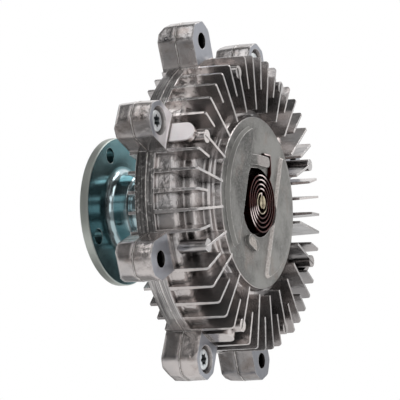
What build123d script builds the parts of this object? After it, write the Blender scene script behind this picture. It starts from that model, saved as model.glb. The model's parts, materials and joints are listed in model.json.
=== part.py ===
from build123d import *
import os
from math import acos, cos, degrees, radians, sin

os.makedirs("parts", exist_ok=True)

# A viscous fan clutch. The clutch axis is +X, the origin is the centre of the flange's mating face
# and the finned cover faces +X. Angles are turned about +X, with 0 at +Z. Millimetres and degrees.

# Flange and shaft
FLANGE_RADIUS = 40.0
FLANGE_THICKNESS = 5.0
FLANGE_EDGE = 0.5
FLANGE_HOLE_RADIUS = 4.2
FLANGE_HOLE_CIRCLE = 32.6
FLANGE_HOLE_COUNT = 4
FLANGE_CLOCK_ANGLE = 28.6
PILOT_RADIUS = 8.0
PILOT_DEPTH = 10.0
NECK_RADIUS = 20.0
NECK_FILLET = 4.5
NECK_END_X = 17.5
NECK_EDGE = 0.8
WAIST_RADIUS = 17.0
SHOULDER_HEIGHT = 3.4
SHOULDER_LENGTH = 2.0
ROTOR_SEAT_STEP = 1.0
SHAFT_THREAD_RADIUS = 5.0
SHAFT_THREAD_STICKOUT = 0.7

# Ball bearing
BEARING_X = 33.0
BEARING_BORE = 10.0
BEARING_OUTER = 23.5
BEARING_WIDTH = 14.0
BALL_RADIUS = 3.97
BALL_COUNT = 8
RING_LIP = 1.15
GROOVE_CLEARANCE = 0.05
CAGE_THICKNESS = 2.2
CAGE_MARGIN = 1.0
CAGE_CLEARANCE = 0.1
BEARING_SEAL_THICKNESS = 0.8
BEARING_SEAL_INSET = 0.4
BEARING_SEAL_GAP = 0.3
BEARING_SEAL_FIT = 0.03
BORE_SHOULDER = 3.0
BORE_SHOULDER_WIDTH = 3.0
RETAINER_THICKNESS = 1.4
RETAINER_DEPTH = 1.1
RETAINER_HEIGHT = 3.4
RETAINER_GAP = 9.0
RETAINER_LIP = 1.1

# Housing, common to both castings
SPLIT_SETBACK = 12.3
RIM_RADIUS = 77.5
RIM_RELIEF = 0.3
FIN_COUNT = 48
SEAL_GROOVE_INSET = 7.0
SEAL_CORD_RADIUS = 1.05
SEAL_GROOVE_CLEARANCE = 0.12
SPIGOT_INSET = 4.0
SPIGOT_DEPTH = 1.5
SPIGOT_CLEARANCE = 0.05
SPIGOT_WALL = 2.5

# Lugs
LUG_COUNT = 8
LUG_CIRCLE = 88.0
LUG_HALF_WIDTH = 10.3
LUG_CROWN = 10.0
LUG_CROWN_HALF_WIDTH = 4.7
LUG_SHOULDER = 3.4
LUG_ROOT_HALF_WIDTH = 10.0
LUG_ROOT_SINK = 1.0
LUG_REACH = 10.1
LUG_DRAFT_ANGLE = 2.0
LUG_FRONT_CORNER = 4.0
LUG_REAR_CORNER = 3.0
LUG_REAR_BEVEL = 3.0
FAN_HOLE_RADIUS = 4.2
COUNTERBORE_RADIUS = 7.2
COUNTERBORE_DEPTH = 6.0

# Rear housing
REAR_RIM_WIDTH = 6.1
REAR_WALL_STEP = 0.6
REAR_WALL_INSET = 3.9
REAR_FLOOR_DEPTH = 2.7
BOSS_WALL = 6.5
BOSS_EDGE = 1.0
BOSS_FLARE = 4.0
REAR_FIN_DEPTH = 4.5
REAR_FIN_INSET = 1.1
REAR_FIN_STRAIGHT = 18.4
REAR_FIN_RISE = 8.7
REAR_FIN_THICKNESS = 1.6

# Front cover
COVER_RIM_HEIGHT = 4.2
LEDGE_INSET = 3.5
LEDGE_HEIGHT = 8.8
STEP_1_WIDTH = 12.0
STEP_1_HEIGHT = 4.7
STEP_2_WIDTH = 5.5
STEP_2_HEIGHT = 3.3
PLATEAU_RADIUS = 45.0
PLATEAU_HEIGHT = 4.4
SHELL_RELIEF = 0.5
COVER_RIM_ROUND = 1.0
LEDGE_ROUND = 2.5
STEP_1_ROUND = 2.0
STEP_2_ROUND = 1.4
PLATEAU_ROUND = 0.8
SHELL_ROOT_ROUND = 1.2
FIN_STICKOUT = 2.5
FIN_TIP_INSET = 0.3
FIN_TIP_ROUND = 1.5
FIN_ROOT_SINK = 1.0
FIN_ROOT_THICKNESS = 2.3
FIN_DRAFT_ANGLE = 1.3
LONG_FIN_SETBACK = 3.0
SHORT_FIN_REACH = 3.5
SIDE_FIN_SETBACK = 2.1
SIDE_FIN_FIRST_ANGLE = 45.0
SIDE_FIN_LAST_ANGLE = 105.0
PAD_RADIUS = 3.6
PAD_INSET = 7.4
PAD_SETBACK = 0.4
PAD_DRAFT_ANGLE = 0.8
TONGUE_WIDTH = 10.0
TONGUE_INSET = 1.1
TONGUE_SETBACK = 4.6

# Plateau, coil pocket and anchor posts
BAND_TILT_ANGLE = 18.5
BAND_FAR_WIDTH = 16.4
BAND_NEAR_WIDTH = 18.6
CRESCENT_INSET = 4.7
CRESCENT_HEIGHT = 2.0
CRESCENT_SINK = 0.2
CRESCENT_DRAFT_ANGLE = 30.0
CRESCENT_TIP_ROUND = 3.0
POCKET_RADIUS = 18.1
POCKET_DEPTH = 5.2
POCKET_CORNER_RADIUS = 19.9
POCKET_CORNER_ANGLE = 29.0
POCKET_LOBE_RADIUS = 12.9
POCKET_LOBE_OFFSET = 7.9
POCKET_LOBE_ANGLE = 122.0
POST_LENGTH = 14.0
POST_WIDTH = 6.4
POST_HEIGHT = 2.0
POST_DRAFT_ANGLE = 4.0
POST_RAMP_LENGTH = 6.0
POST_1_Y = 3.6
POST_1_Z = 21.9
POST_1_TILT_ANGLE = 0.0
POST_2_Y = -11.0
POST_2_Z = -21.8
POST_2_TILT_ANGLE = -20.0
HOOK_SIDE = 12.2
HOOK_LOW = 16.2
HOOK_TOP = 25.9
HOOK_END = 4.5
HOOK_ROUND = 1.2
HOOK_CLEARANCE = 0.3

# Rotor and labyrinth
ROTOR_REAR_GAP = 1.0
ROTOR_WEB = 3.6
ROTOR_RIM_GAP = 1.2
ROTOR_HUB_WALL = 4.2
ROTOR_HOLE_RADIUS = 3.6
ROTOR_HOLE_CIRCLE = 24.0
ROTOR_HOLE_COUNT = 6
LABYRINTH_COUNT = 4
LABYRINTH_PITCH = 5.2
LABYRINTH_THICKNESS = 1.7
LABYRINTH_HEIGHT = 5.4
LABYRINTH_GAP = 0.8
ROTOR_WASHER_RADIUS = 11.5
ROTOR_WASHER_THICKNESS = 1.2
ROTOR_NUT_FLATS = 16.0
ROTOR_NUT_HEIGHT = 4.6

# Reservoir, partition plate and valve
PLATE_SETBACK = 0.8
PLATE_THICKNESS = 1.2
PLATE_RADIUS = 37.0
PLATE_CLEARANCE = 0.2
PLATE_SCREW_INSET = 3.2
PLATE_SCREW_COUNT = 4
PLATE_SCREW_RADIUS = 1.5
PLATE_SCREW_HEAD = 2.6
PLATE_SCREW_SINK = 0.9
PLATE_SCREW_LENGTH = 6.0
PORT_INSET = 6.5
PORT_LENGTH = 9.0
PORT_WIDTH = 4.0
PORT_ANGLE = 90.0
RESERVOIR_INSET = 6.5
RESERVOIR_DEPTH = 5.6
RESERVOIR_RING_WALL = 3.4
RESERVOIR_RING_ROOF = 1.5
VALVE_SHAFT_RADIUS = 3.5
VALVE_FLANGE_HEIGHT = 1.5
VALVE_FLANGE_CLEARANCE = 0.2
VALVE_SPIGOT_RADIUS = 2.2
VALVE_SHAFT_STICKOUT = 2.2
VALVE_SLOT_CLEARANCE = 0.15
VALVE_SLOT_DEPTH = 7.0
ARM_GAP = 0.3
ARM_THICKNESS = 1.0
ARM_HUB_MARGIN = 1.0
ARM_TIP_MARGIN = 0.5
BUSH_WALL = 1.9
BUSH_LENGTH = 2.0
SEAL_LIP = 0.7
SEAL_LIP_CLEARANCE = 0.3
SHAFT_CLEARANCE = 0.03
SHAFT_SEAL_CLEARANCE = 0.05

# Bimetal coil
COIL_STRIP = 0.7
COIL_WIDTH = 6.0
COIL_STICKOUT = 1.8
COIL_SHAFT_GAP = 1.3
COIL_POCKET_GAP = 2.1
COIL_HALF_TURNS = 9
HALF_TURN_ANGLE = 180.0
COIL_LEAVE_ANGLE = 40.0
COIL_TAB_END = 2.6

# Screws
SCREW_SHANK_RADIUS = 3.0
SCREW_HEAD_RADIUS = 5.6
SCREW_HEAD_HEIGHT = 4.6
SCREW_HEAD_ROUND = 0.9
SOCKET_RADIUS = 3.2
SOCKET_WAIST_RADIUS = 2.4
SOCKET_LOBE_RADIUS = 0.75
SOCKET_LOBE_COUNT = 6
SOCKET_DEPTH = 2.8
SCREW_LENGTH = 12.0
THREAD_CLEARANCE = 0.02
HOLE_CLEARANCE = 0.3

# How far a cut runs past the face that it opens
OVERCUT = 1.0

# The most that a rounding may take of a wall beside it, as a share of the wall
WALL_SHARE = 0.45

# Places along the axis that follow from the sizes above
bearing_end_x = BEARING_X + BEARING_WIDTH
bearing_mid_x = BEARING_X + BEARING_WIDTH / 2
split_x = bearing_end_x + SPLIT_SETBACK
lug_front_x = split_x + LUG_REACH
lug_rear_x = split_x - LUG_REACH
counterbore_x = lug_front_x - COUNTERBORE_DEPTH
rear_rim_x = split_x - REAR_RIM_WIDTH
rear_wall_x = rear_rim_x + REAR_WALL_STEP
rear_floor_x = split_x - REAR_FLOOR_DEPTH
rear_fin_x = rear_rim_x - REAR_FIN_DEPTH
rotor_rear_x = rear_floor_x + ROTOR_REAR_GAP
rotor_front_x = rotor_rear_x + ROTOR_WEB
labyrinth_tip_x = rotor_front_x + LABYRINTH_GAP
labyrinth_floor_x = labyrinth_tip_x + LABYRINTH_HEIGHT
nut_x = rotor_front_x + ROTOR_WASHER_THICKNESS
shaft_end_x = nut_x + ROTOR_NUT_HEIGHT + SHAFT_THREAD_STICKOUT
plate_x = labyrinth_floor_x + PLATE_SETBACK
plate_front_x = plate_x + PLATE_THICKNESS
plate_screw_end = plate_x + PLATE_SCREW_LENGTH
arm_rear_x = plate_front_x + ARM_GAP
arm_front_x = arm_rear_x + ARM_THICKNESS
reservoir_x = plate_front_x + RESERVOIR_DEPTH
bush_front_x = reservoir_x + BUSH_LENGTH
cover_rim_x = split_x + COVER_RIM_HEIGHT
ledge_x = cover_rim_x + LEDGE_HEIGHT
step_1_x = ledge_x + STEP_1_HEIGHT
step_2_x = step_1_x + STEP_2_HEIGHT
plateau_x = step_2_x + PLATEAU_HEIGHT
fin_front_x = plateau_x + FIN_STICKOUT
tongue_x = fin_front_x - TONGUE_SETBACK
pocket_x = plateau_x - POCKET_DEPTH
reservoir_ring_x = pocket_x - RESERVOIR_RING_ROOF
valve_shaft_x = plateau_x + VALVE_SHAFT_STICKOUT
coil_front_x = plateau_x + COIL_STICKOUT
coil_rear_x = coil_front_x - COIL_WIDTH

# Radii that follow from the sizes above
shoulder_radius = BEARING_BORE + SHOULDER_HEIGHT
rotor_seat_radius = BEARING_BORE - ROTOR_SEAT_STEP
rotor_hub_radius = rotor_seat_radius + ROTOR_HUB_WALL
ball_circle = (BEARING_BORE + BEARING_OUTER) / 2
groove_radius = BALL_RADIUS + GROOVE_CLEARANCE
inner_ring_lip = ball_circle - BALL_RADIUS + RING_LIP
outer_ring_lip = ball_circle + BALL_RADIUS - RING_LIP
boss_radius = BEARING_OUTER + BOSS_WALL
boss_root_radius = boss_radius + BOSS_FLARE
seal_groove_radius = RIM_RADIUS - SEAL_GROOVE_INSET
spigot_radius = seal_groove_radius - SPIGOT_INSET
cavity_radius = spigot_radius - SPIGOT_WALL
rotor_radius = cavity_radius - ROTOR_RIM_GAP
rear_wall_foot = RIM_RADIUS - REAR_WALL_INSET
rear_fin_tip = RIM_RADIUS - REAR_FIN_INSET
rear_fin_shoulder = rear_fin_tip - REAR_FIN_STRAIGHT
ledge_radius = RIM_RADIUS - LEDGE_INSET
lug_root = ledge_radius - LUG_ROOT_SINK
step_2_radius = PLATEAU_RADIUS + STEP_2_WIDTH
step_1_radius = step_2_radius + STEP_1_WIDTH
fin_tip = RIM_RADIUS - FIN_TIP_INSET
long_fin_inner = PLATEAU_RADIUS + LONG_FIN_SETBACK
short_fin_inner = step_1_radius - SHORT_FIN_REACH
side_fin_inner = step_1_radius + SIDE_FIN_SETBACK
pad_circle = fin_tip - PAD_INSET
tongue_top = RIM_RADIUS - TONGUE_INSET
crescent_radius = PLATEAU_RADIUS - CRESCENT_INSET
reservoir_radius = PLATE_RADIUS - RESERVOIR_INSET
reservoir_ring_radius = POCKET_RADIUS + RESERVOIR_RING_WALL
plate_screw_circle = PLATE_RADIUS - PLATE_SCREW_INSET
port_circle = reservoir_radius - PORT_INSET
arm_tip_radius = PORT_LENGTH / 2 + ARM_TIP_MARGIN
bush_radius = VALVE_SHAFT_RADIUS + BUSH_WALL
valve_flange_radius = VALVE_SHAFT_RADIUS + VALVE_FLANGE_HEIGHT
arm_hub_radius = valve_flange_radius + ARM_HUB_MARGIN
shaft_seal_radius = (BUSH_WALL - 2 * SHAFT_SEAL_CLEARANCE) / 2
coil_inner = VALVE_SHAFT_RADIUS + COIL_SHAFT_GAP
coil_outer = POCKET_RADIUS - COIL_POCKET_GAP
coil_step = (coil_outer - coil_inner) / (COIL_HALF_TURNS + 0.5)

# Angles of the lugs, by turns for a fan bolt and for a cover screw
lug_angles = [360 / LUG_COUNT * (n + 0.5) for n in range(LUG_COUNT)]
fan_lug_angles = lug_angles[0::2]
screw_lug_angles = lug_angles[1::2]


def revolved(corners):
    """A solid turned about the clutch axis from corners, each an x and a radius, and its rounding if it has one."""
    profile = make_face(Polyline([(x, 0, r) for x, r, *_ in corners], close=True))
    for x, r, *rounding in corners:
        if rounding:
            corner = profile.vertices().sort_by_distance(Vector(x, 0, r))[0]
            profile = fillet(corner, rounding[0])
    return revolve(profile, Axis.X, 360)


def limited(rounding, *walls):
    """A rounding, or less where a wall beside it is too short for it."""
    return min(rounding, *[WALL_SHARE * wall for wall in walls])


def tube(x_from, x_to, outer, inner=0.0):
    """A plain tube or disc on the clutch axis."""
    return revolved([(x_from, inner), (x_to, inner), (x_to, outer), (x_from, outer)])


def facing_front(x):
    """A plane across the clutch axis whose sketches grow toward +X and whose up is +Z."""
    return Plane(origin=(x, 0, 0), x_dir=(0, 1, 0), z_dir=(1, 0, 0))


def facing_rear(x):
    """A plane across the clutch axis whose sketches grow toward -X and whose up is +Z."""
    return Plane(origin=(x, 0, 0), x_dir=(0, -1, 0), z_dir=(-1, 0, 0))


def rod(x_from, x_to, radius, circle):
    """A round bar along the axis, at angle 0 on a circle of the given radius."""
    profile = facing_front(x_from) * Pos(0, circle) * Circle(radius)
    return extrude(profile, amount=x_to - x_from)


def turned(shape, angles):
    """Copies of a shape at each angle about the clutch axis."""
    return [Rot(X=angle) * shape for angle in angles]


def evenly(count, first=0.0):
    """Evenly spaced angles."""
    return [first + 360 / count * n for n in range(count)]


def round_edges(shape, radius, x):
    """The circular edges of a radius that lie at one place along the axis."""
    circles = shape.edges().filter_by(GeomType.CIRCLE)
    return [e for e in circles if abs(e.radius - radius) < 0.01 and abs(e.center().X - x) < 0.01]


def flange_shaft():
    """Bolted flange, concave neck and stepped shaft, turned from one piece of steel."""
    shoulder_x = BEARING_X - SHOULDER_LENGTH
    shaft = revolved(
        [
            (0, PILOT_RADIUS),
            (0, FLANGE_RADIUS),
            (FLANGE_THICKNESS, FLANGE_RADIUS),
            (FLANGE_THICKNESS, NECK_RADIUS, NECK_FILLET),
            (NECK_END_X, NECK_RADIUS),
            (NECK_END_X, WAIST_RADIUS),
            (shoulder_x, WAIST_RADIUS),
            (shoulder_x, shoulder_radius),
            (BEARING_X, shoulder_radius),
            (BEARING_X, BEARING_BORE),
            (bearing_end_x, BEARING_BORE),
            (bearing_end_x, rotor_seat_radius),
            (rotor_front_x, rotor_seat_radius),
            (rotor_front_x, SHAFT_THREAD_RADIUS),
            (shaft_end_x, SHAFT_THREAD_RADIUS),
            (shaft_end_x, 0),
            (PILOT_DEPTH, 0),
            (PILOT_DEPTH, PILOT_RADIUS),
        ]
    )
    rim = round_edges(shaft, FLANGE_RADIUS, 0) + round_edges(shaft, FLANGE_RADIUS, FLANGE_THICKNESS)
    shaft = chamfer(rim, FLANGE_EDGE)
    shaft = chamfer(round_edges(shaft, NECK_RADIUS, NECK_END_X), NECK_EDGE)
    shaft = chamfer(round_edges(shaft, PILOT_RADIUS, 0), FLANGE_EDGE)
    hole = rod(-OVERCUT, FLANGE_THICKNESS + OVERCUT, FLANGE_HOLE_RADIUS, FLANGE_HOLE_CIRCLE)
    return shaft - turned(hole, evenly(FLANGE_HOLE_COUNT, FLANGE_CLOCK_ANGLE))


def ball_groove():
    """The ring that the balls roll in, as a solid to cut away."""
    section = Plane((bearing_mid_x, 0, ball_circle), x_dir=(1, 0, 0), z_dir=(0, -1, 0)) * Circle(groove_radius)
    return revolve(section, Axis.X, 360)


def bearing_inner_ring():
    return tube(BEARING_X, bearing_end_x, inner_ring_lip, BEARING_BORE) - ball_groove()


def bearing_outer_ring():
    return tube(BEARING_X, bearing_end_x, BEARING_OUTER, outer_ring_lip) - ball_groove()


def balls(radius):
    """Balls or ball-shaped pockets, evenly round the bearing."""
    ball = Pos(bearing_mid_x, 0, ball_circle) * Sphere(radius)
    return turned(ball, evenly(BALL_COUNT))


def bearing_cage():
    half = BALL_RADIUS + CAGE_CLEARANCE + CAGE_MARGIN
    middle = ball_circle
    band = tube(
        bearing_mid_x - half,
        bearing_mid_x + half,
        middle + CAGE_THICKNESS / 2,
        middle - CAGE_THICKNESS / 2,
    )
    return band - balls(BALL_RADIUS + CAGE_CLEARANCE)


def bearing_seal(x):
    """A thin shield between the two rings that starts at x."""
    return tube(
        x,
        x + BEARING_SEAL_THICKNESS,
        outer_ring_lip - BEARING_SEAL_FIT,
        inner_ring_lip + BEARING_SEAL_GAP,
    )


def retaining_ring():
    """Open spring ring that holds the bearing in its bore."""
    outer = BEARING_OUTER + RETAINER_DEPTH - THREAD_CLEARANCE
    ring = tube(BEARING_X - RETAINER_THICKNESS, BEARING_X, outer, outer - RETAINER_HEIGHT)
    gap = Pos(BEARING_X, 0, -BEARING_OUTER) * Box(4 * RETAINER_THICKNESS, RETAINER_GAP, 4 * RETAINER_HEIGHT)
    return ring - gap


def lug_outline(plane, corner_radius):
    """Section of one lug at angle 0: parallel flanks, two shoulders and a flat crown."""
    right = [
        (LUG_ROOT_HALF_WIDTH, lug_root),
        (LUG_HALF_WIDTH, LUG_CIRCLE + LUG_SHOULDER),
        (LUG_CROWN_HALF_WIDTH, LUG_CIRCLE + LUG_CROWN),
    ]
    left = [(-u, v) for u, v in reversed(right)]
    section = make_face(Polyline(right + left, close=True))
    corners = section.vertices().sort_by(Axis.Y)[2:]
    return plane * fillet(corners, corner_radius)


def rear_lug():
    """The half of a lug on the rear housing, drafted and bevelled at its back end."""
    lug = extrude(lug_outline(facing_rear(split_x), LUG_REAR_CORNER), amount=LUG_REACH, taper=LUG_DRAFT_ANGLE)
    crown = LUG_CIRCLE + LUG_CROWN
    bevel = Polyline(
        [
            (lug_rear_x - LUG_REAR_BEVEL, 0, crown - 2 * LUG_REAR_BEVEL),
            (lug_rear_x - LUG_REAR_BEVEL, 0, crown + LUG_REAR_BEVEL),
            (lug_rear_x + 2 * LUG_REAR_BEVEL, 0, crown + LUG_REAR_BEVEL),
        ],
        close=True,
    )
    return lug - extrude(make_face(bevel), amount=LUG_HALF_WIDTH, both=True)


def front_lug():
    """The half of a lug on the front cover."""
    section = lug_outline(facing_front(split_x), LUG_FRONT_CORNER)
    return extrude(section, amount=LUG_REACH, taper=LUG_DRAFT_ANGLE)


def rear_fin():
    """One straight rib between the bearing boss and the rim, at angle 0."""
    root_x = rear_wall_x + RIM_RELIEF
    outline = Polyline(
        [
            (root_x, 0, rear_fin_tip),
            (rear_fin_x, 0, rear_fin_tip),
            (rear_fin_x, 0, rear_fin_shoulder),
            (rear_fin_x - REAR_FIN_RISE, 0, boss_radius - BOSS_EDGE),
            (root_x, 0, boss_radius - BOSS_EDGE),
        ],
        close=True,
    )
    return extrude(make_face(outline), amount=REAR_FIN_THICKNESS / 2, both=True)


def rear_housing():
    """Casting behind the split: bearing boss, wall with radial fins, rim and rear lug halves."""
    boss_end_x = BEARING_X - RETAINER_THICKNESS - RETAINER_LIP
    bore_end_x = bearing_end_x + BORE_SHOULDER_WIDTH
    bore_shoulder_radius = BEARING_OUTER - BORE_SHOULDER
    body = revolved(
        [
            (boss_end_x, 0),
            (boss_end_x, boss_radius - BOSS_EDGE),
            (boss_end_x + BOSS_EDGE, boss_radius),
            (bearing_end_x, boss_root_radius),
            (rear_wall_x, rear_wall_foot),
            (rear_rim_x, RIM_RADIUS - RIM_RELIEF),
            (split_x, RIM_RADIUS),
            (split_x, 0),
        ]
    )
    body += turned(rear_fin(), evenly(FIN_COUNT)) + turned(rear_lug(), lug_angles)
    inside = revolved(
        [
            (boss_end_x - OVERCUT, 0),
            (boss_end_x - OVERCUT, BEARING_OUTER),
            (BEARING_X - RETAINER_THICKNESS, BEARING_OUTER),
            (BEARING_X - RETAINER_THICKNESS, BEARING_OUTER + RETAINER_DEPTH),
            (BEARING_X, BEARING_OUTER + RETAINER_DEPTH),
            (BEARING_X, BEARING_OUTER),
            (bearing_end_x, BEARING_OUTER),
            (bearing_end_x, bore_shoulder_radius),
            (bore_end_x, bore_shoulder_radius),
            (rear_floor_x, boss_radius),
            (rear_floor_x, cavity_radius),
            (split_x - SPIGOT_DEPTH - SPIGOT_CLEARANCE, cavity_radius),
            (split_x - SPIGOT_DEPTH - SPIGOT_CLEARANCE, spigot_radius + SPIGOT_CLEARANCE),
            (split_x + OVERCUT, spigot_radius + SPIGOT_CLEARANCE),
            (split_x + OVERCUT, 0),
        ]
    )
    groove_half = SEAL_CORD_RADIUS + SEAL_GROOVE_CLEARANCE
    seal_groove = tube(
        split_x - 2 * SEAL_CORD_RADIUS - SEAL_GROOVE_CLEARANCE,
        split_x + OVERCUT,
        seal_groove_radius + groove_half,
        seal_groove_radius - groove_half,
    )
    fan_hole = rod(lug_rear_x - OVERCUT, split_x + OVERCUT, FAN_HOLE_RADIUS, LUG_CIRCLE)
    tapped_x = counterbore_x - SCREW_LENGTH - 2 * HOLE_CLEARANCE
    tapped_hole = rod(tapped_x, split_x + OVERCUT, SCREW_SHANK_RADIUS + THREAD_CLEARANCE, LUG_CIRCLE)
    holes = turned(fan_hole, fan_lug_angles) + turned(tapped_hole, screw_lug_angles)
    return body - [inside, seal_groove] - holes


def housing_seal_ring():
    """Round cord in the groove at the split."""
    centre = (split_x - SEAL_CORD_RADIUS - SEAL_GROOVE_CLEARANCE / 2, 0, seal_groove_radius)
    section = Plane(centre, x_dir=(1, 0, 0), z_dir=(0, -1, 0)) * Circle(SEAL_CORD_RADIUS)
    return revolve(section, Axis.X, 360)


def front_fin(inner, tip):
    """One drafted fin at angle 0, from an inner radius out to its tip."""
    root_x = cover_rim_x - FIN_ROOT_SINK
    section = facing_front(root_x) * Pos(0, (inner + tip) / 2) * Rectangle(FIN_ROOT_THICKNESS, tip - inner)
    fin = extrude(section, amount=fin_front_x - root_x, taper=FIN_DRAFT_ANGLE)
    outer_front_edge = fin.faces().sort_by(Axis.X)[-1].edges().sort_by(Axis.Z)[-1]
    return fillet(outer_front_edge, FIN_TIP_ROUND)


def front_fins():
    """Long and short fins by turns, with lower ones where an ejector pad ends the fin."""
    pad_top = pad_circle + PAD_RADIUS
    fins = []
    for n in range(FIN_COUNT):
        angle = 360 / FIN_COUNT * n
        inner = long_fin_inner
        if n % 2 == 0:
            beside = SIDE_FIN_FIRST_ANGLE <= angle % 180 <= SIDE_FIN_LAST_ANGLE
            inner = side_fin_inner if beside else short_fin_inner
        at_lug = any(abs(angle - lug_angle) < 0.01 for lug_angle in lug_angles)
        fins.append(Rot(X=angle) * front_fin(inner, pad_top if at_lug else fin_tip))
    return fins


def ejector_pad():
    """Round pad at the front of the fin in line with a lug."""
    section = facing_front(cover_rim_x) * Pos(0, pad_circle) * Circle(PAD_RADIUS)
    return extrude(section, amount=fin_front_x - PAD_SETBACK - cover_rim_x, taper=PAD_DRAFT_ANGLE)


def tongue():
    """Smooth round-ended land in front of a screw lug, between two fins."""
    floor = lug_root
    length = tongue_x - split_x
    plane = Plane(origin=(split_x, 0, floor), x_dir=(1, 0, 0), z_dir=(0, 0, 1))
    straight = length - TONGUE_WIDTH / 2
    section = plane * (
        Pos(straight / 2, 0) * Rectangle(straight, TONGUE_WIDTH) + Pos(straight, 0) * Circle(TONGUE_WIDTH / 2)
    )
    return extrude(section, amount=tongue_top - floor, taper=FIN_DRAFT_ANGLE)


def labyrinth_ring(outer, x_from, x_to):
    return tube(x_from, x_to, outer, outer - LABYRINTH_THICKNESS)


def cover_inside():
    """What is hollow inside the front cover, with its labyrinth rings left standing."""
    start_x = split_x - SPIGOT_DEPTH - OVERCUT
    hollow = tube(start_x, labyrinth_floor_x, cavity_radius)
    for n in range(LABYRINTH_COUNT):
        outer = rotor_radius - (n + 0.5) * LABYRINTH_PITCH
        hollow -= labyrinth_ring(outer, labyrinth_tip_x, labyrinth_floor_x + OVERCUT)
    hollow += tube(start_x, plate_front_x, PLATE_RADIUS + PLATE_CLEARANCE)
    hollow += tube(plate_front_x - OVERCUT, reservoir_x, reservoir_radius)
    hollow += tube(reservoir_x - OVERCUT, reservoir_ring_x, reservoir_radius, reservoir_ring_radius)
    return hollow


def crescents():
    """Two raised segments of a disc with a straight band between them."""
    middle = (BAND_FAR_WIDTH - BAND_NEAR_WIDTH) / 2
    band = Pos(middle, 0) * Rectangle(BAND_FAR_WIDTH + BAND_NEAR_WIDTH, 2 * PLATEAU_RADIUS)
    section = Rot(0, 0, -BAND_TILT_ANGLE) * (Circle(crescent_radius) - band)
    section = fillet(section.vertices(), CRESCENT_TIP_ROUND)
    plane = facing_front(plateau_x - CRESCENT_SINK)
    return extrude(plane * section, amount=CRESCENT_HEIGHT + CRESCENT_SINK, taper=CRESCENT_DRAFT_ANGLE)


def pocket():
    """Round pocket for the coil, with a corner at its near upper side and a lobe at its near lower side."""
    tangent = degrees(acos(POCKET_RADIUS / POCKET_CORNER_RADIUS))
    sides = [
        (-POCKET_RADIUS * sin(radians(angle)), POCKET_RADIUS * cos(radians(angle)))
        for angle in (POCKET_CORNER_ANGLE - tangent, POCKET_CORNER_ANGLE + tangent)
    ]
    tip_angle = radians(POCKET_CORNER_ANGLE)
    tip = (-POCKET_CORNER_RADIUS * sin(tip_angle), POCKET_CORNER_RADIUS * cos(tip_angle))
    corner = make_face(Polyline((0, 0), sides[0], tip, sides[1], close=True))
    lobe = Rot(0, 0, POCKET_LOBE_ANGLE) * Pos(0, POCKET_LOBE_OFFSET) * Circle(POCKET_LOBE_RADIUS)
    depth = POCKET_DEPTH + 2 * CRESCENT_HEIGHT
    return extrude(facing_front(pocket_x) * (Circle(POCKET_RADIUS) + corner + lobe), amount=depth)


def anchor_post(y, z, tilt):
    """Oval boss on the rim of the pocket."""
    section = Pos(y, z) * Rot(0, 0, tilt) * SlotOverall(POST_LENGTH, POST_WIDTH)
    return extrude(facing_front(pocket_x) * section, amount=POCKET_DEPTH + POST_HEIGHT, taper=POST_DRAFT_ANGLE)


def post_ramp():
    """Slope from the plateau up to the near end of the upper post."""
    top_y = POST_1_Y - POST_LENGTH / 2
    side = Polyline(
        [
            (plateau_x - OVERCUT, top_y - POST_RAMP_LENGTH, POST_1_Z),
            (plateau_x, top_y - POST_RAMP_LENGTH, POST_1_Z),
            (plateau_x + POST_HEIGHT, top_y, POST_1_Z),
            (plateau_x + POST_HEIGHT, POST_1_Y, POST_1_Z),
            (plateau_x - OVERCUT, POST_1_Y, POST_1_Z),
        ],
        close=True,
    )
    return extrude(make_face(side), amount=POST_WIDTH / 2 - POST_HEIGHT / 4, both=True)


def coil_arc(n, sweep):
    """One arc of the coil's middle line: half-turn number n, from its start through a sweep."""
    side = 1 if n % 2 == 0 else -1
    centre = -side * coil_step / 2
    radius = coil_inner + (n + 0.5) * coil_step
    first = radians(0 if side > 0 else HALF_TURN_ANGLE)
    points = []
    for part in (0, 0.5, 1):
        angle = first + radians(sweep) * part
        points.append((-radius * sin(angle), centre + radius * cos(angle)))
    return ThreePointArc(*points)


def hook_line(start):
    """Middle line of the coil's outer end: out of the pocket, up and over the anchor post."""
    return FilletPolyline(start, (HOOK_SIDE, HOOK_LOW), (HOOK_SIDE, HOOK_TOP), (HOOK_END, HOOK_TOP), radius=HOOK_ROUND)


def strip_section(line, thickness):
    """A strip of even thickness along a line, across the clutch axis."""
    return make_face(offset(line, thickness / 2, side=Side.BOTH).edges())


def coil_end():
    """Where the coil's last arc stops and its outer end is bent outward."""
    return coil_arc(COIL_HALF_TURNS, HALF_TURN_ANGLE - COIL_LEAVE_ANGLE) @ 1


def hook_slot():
    """Slot in the plateau that the coil's outer end lies in."""
    end = coil_end()
    section = strip_section(hook_line((end.X, end.Y)), COIL_STRIP + 2 * HOOK_CLEARANCE)
    return extrude(facing_front(coil_rear_x) * section, amount=COIL_WIDTH + CRESCENT_HEIGHT)


def bimetal_coil():
    """Flat spiral strip: a tab in the slot of the valve shaft, the turns and the hooked outer end."""
    tab = Line((0, -COIL_TAB_END), (0, coil_inner))
    arcs = [coil_arc(n, HALF_TURN_ANGLE) for n in range(COIL_HALF_TURNS)]
    arcs.append(coil_arc(COIL_HALF_TURNS, HALF_TURN_ANGLE - COIL_LEAVE_ANGLE))
    end = coil_end()
    line = Curve() + [tab] + arcs + [hook_line((end.X, end.Y))]
    section = strip_section(line, COIL_STRIP)
    return extrude(facing_front(coil_rear_x) * section, amount=COIL_WIDTH)


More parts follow.
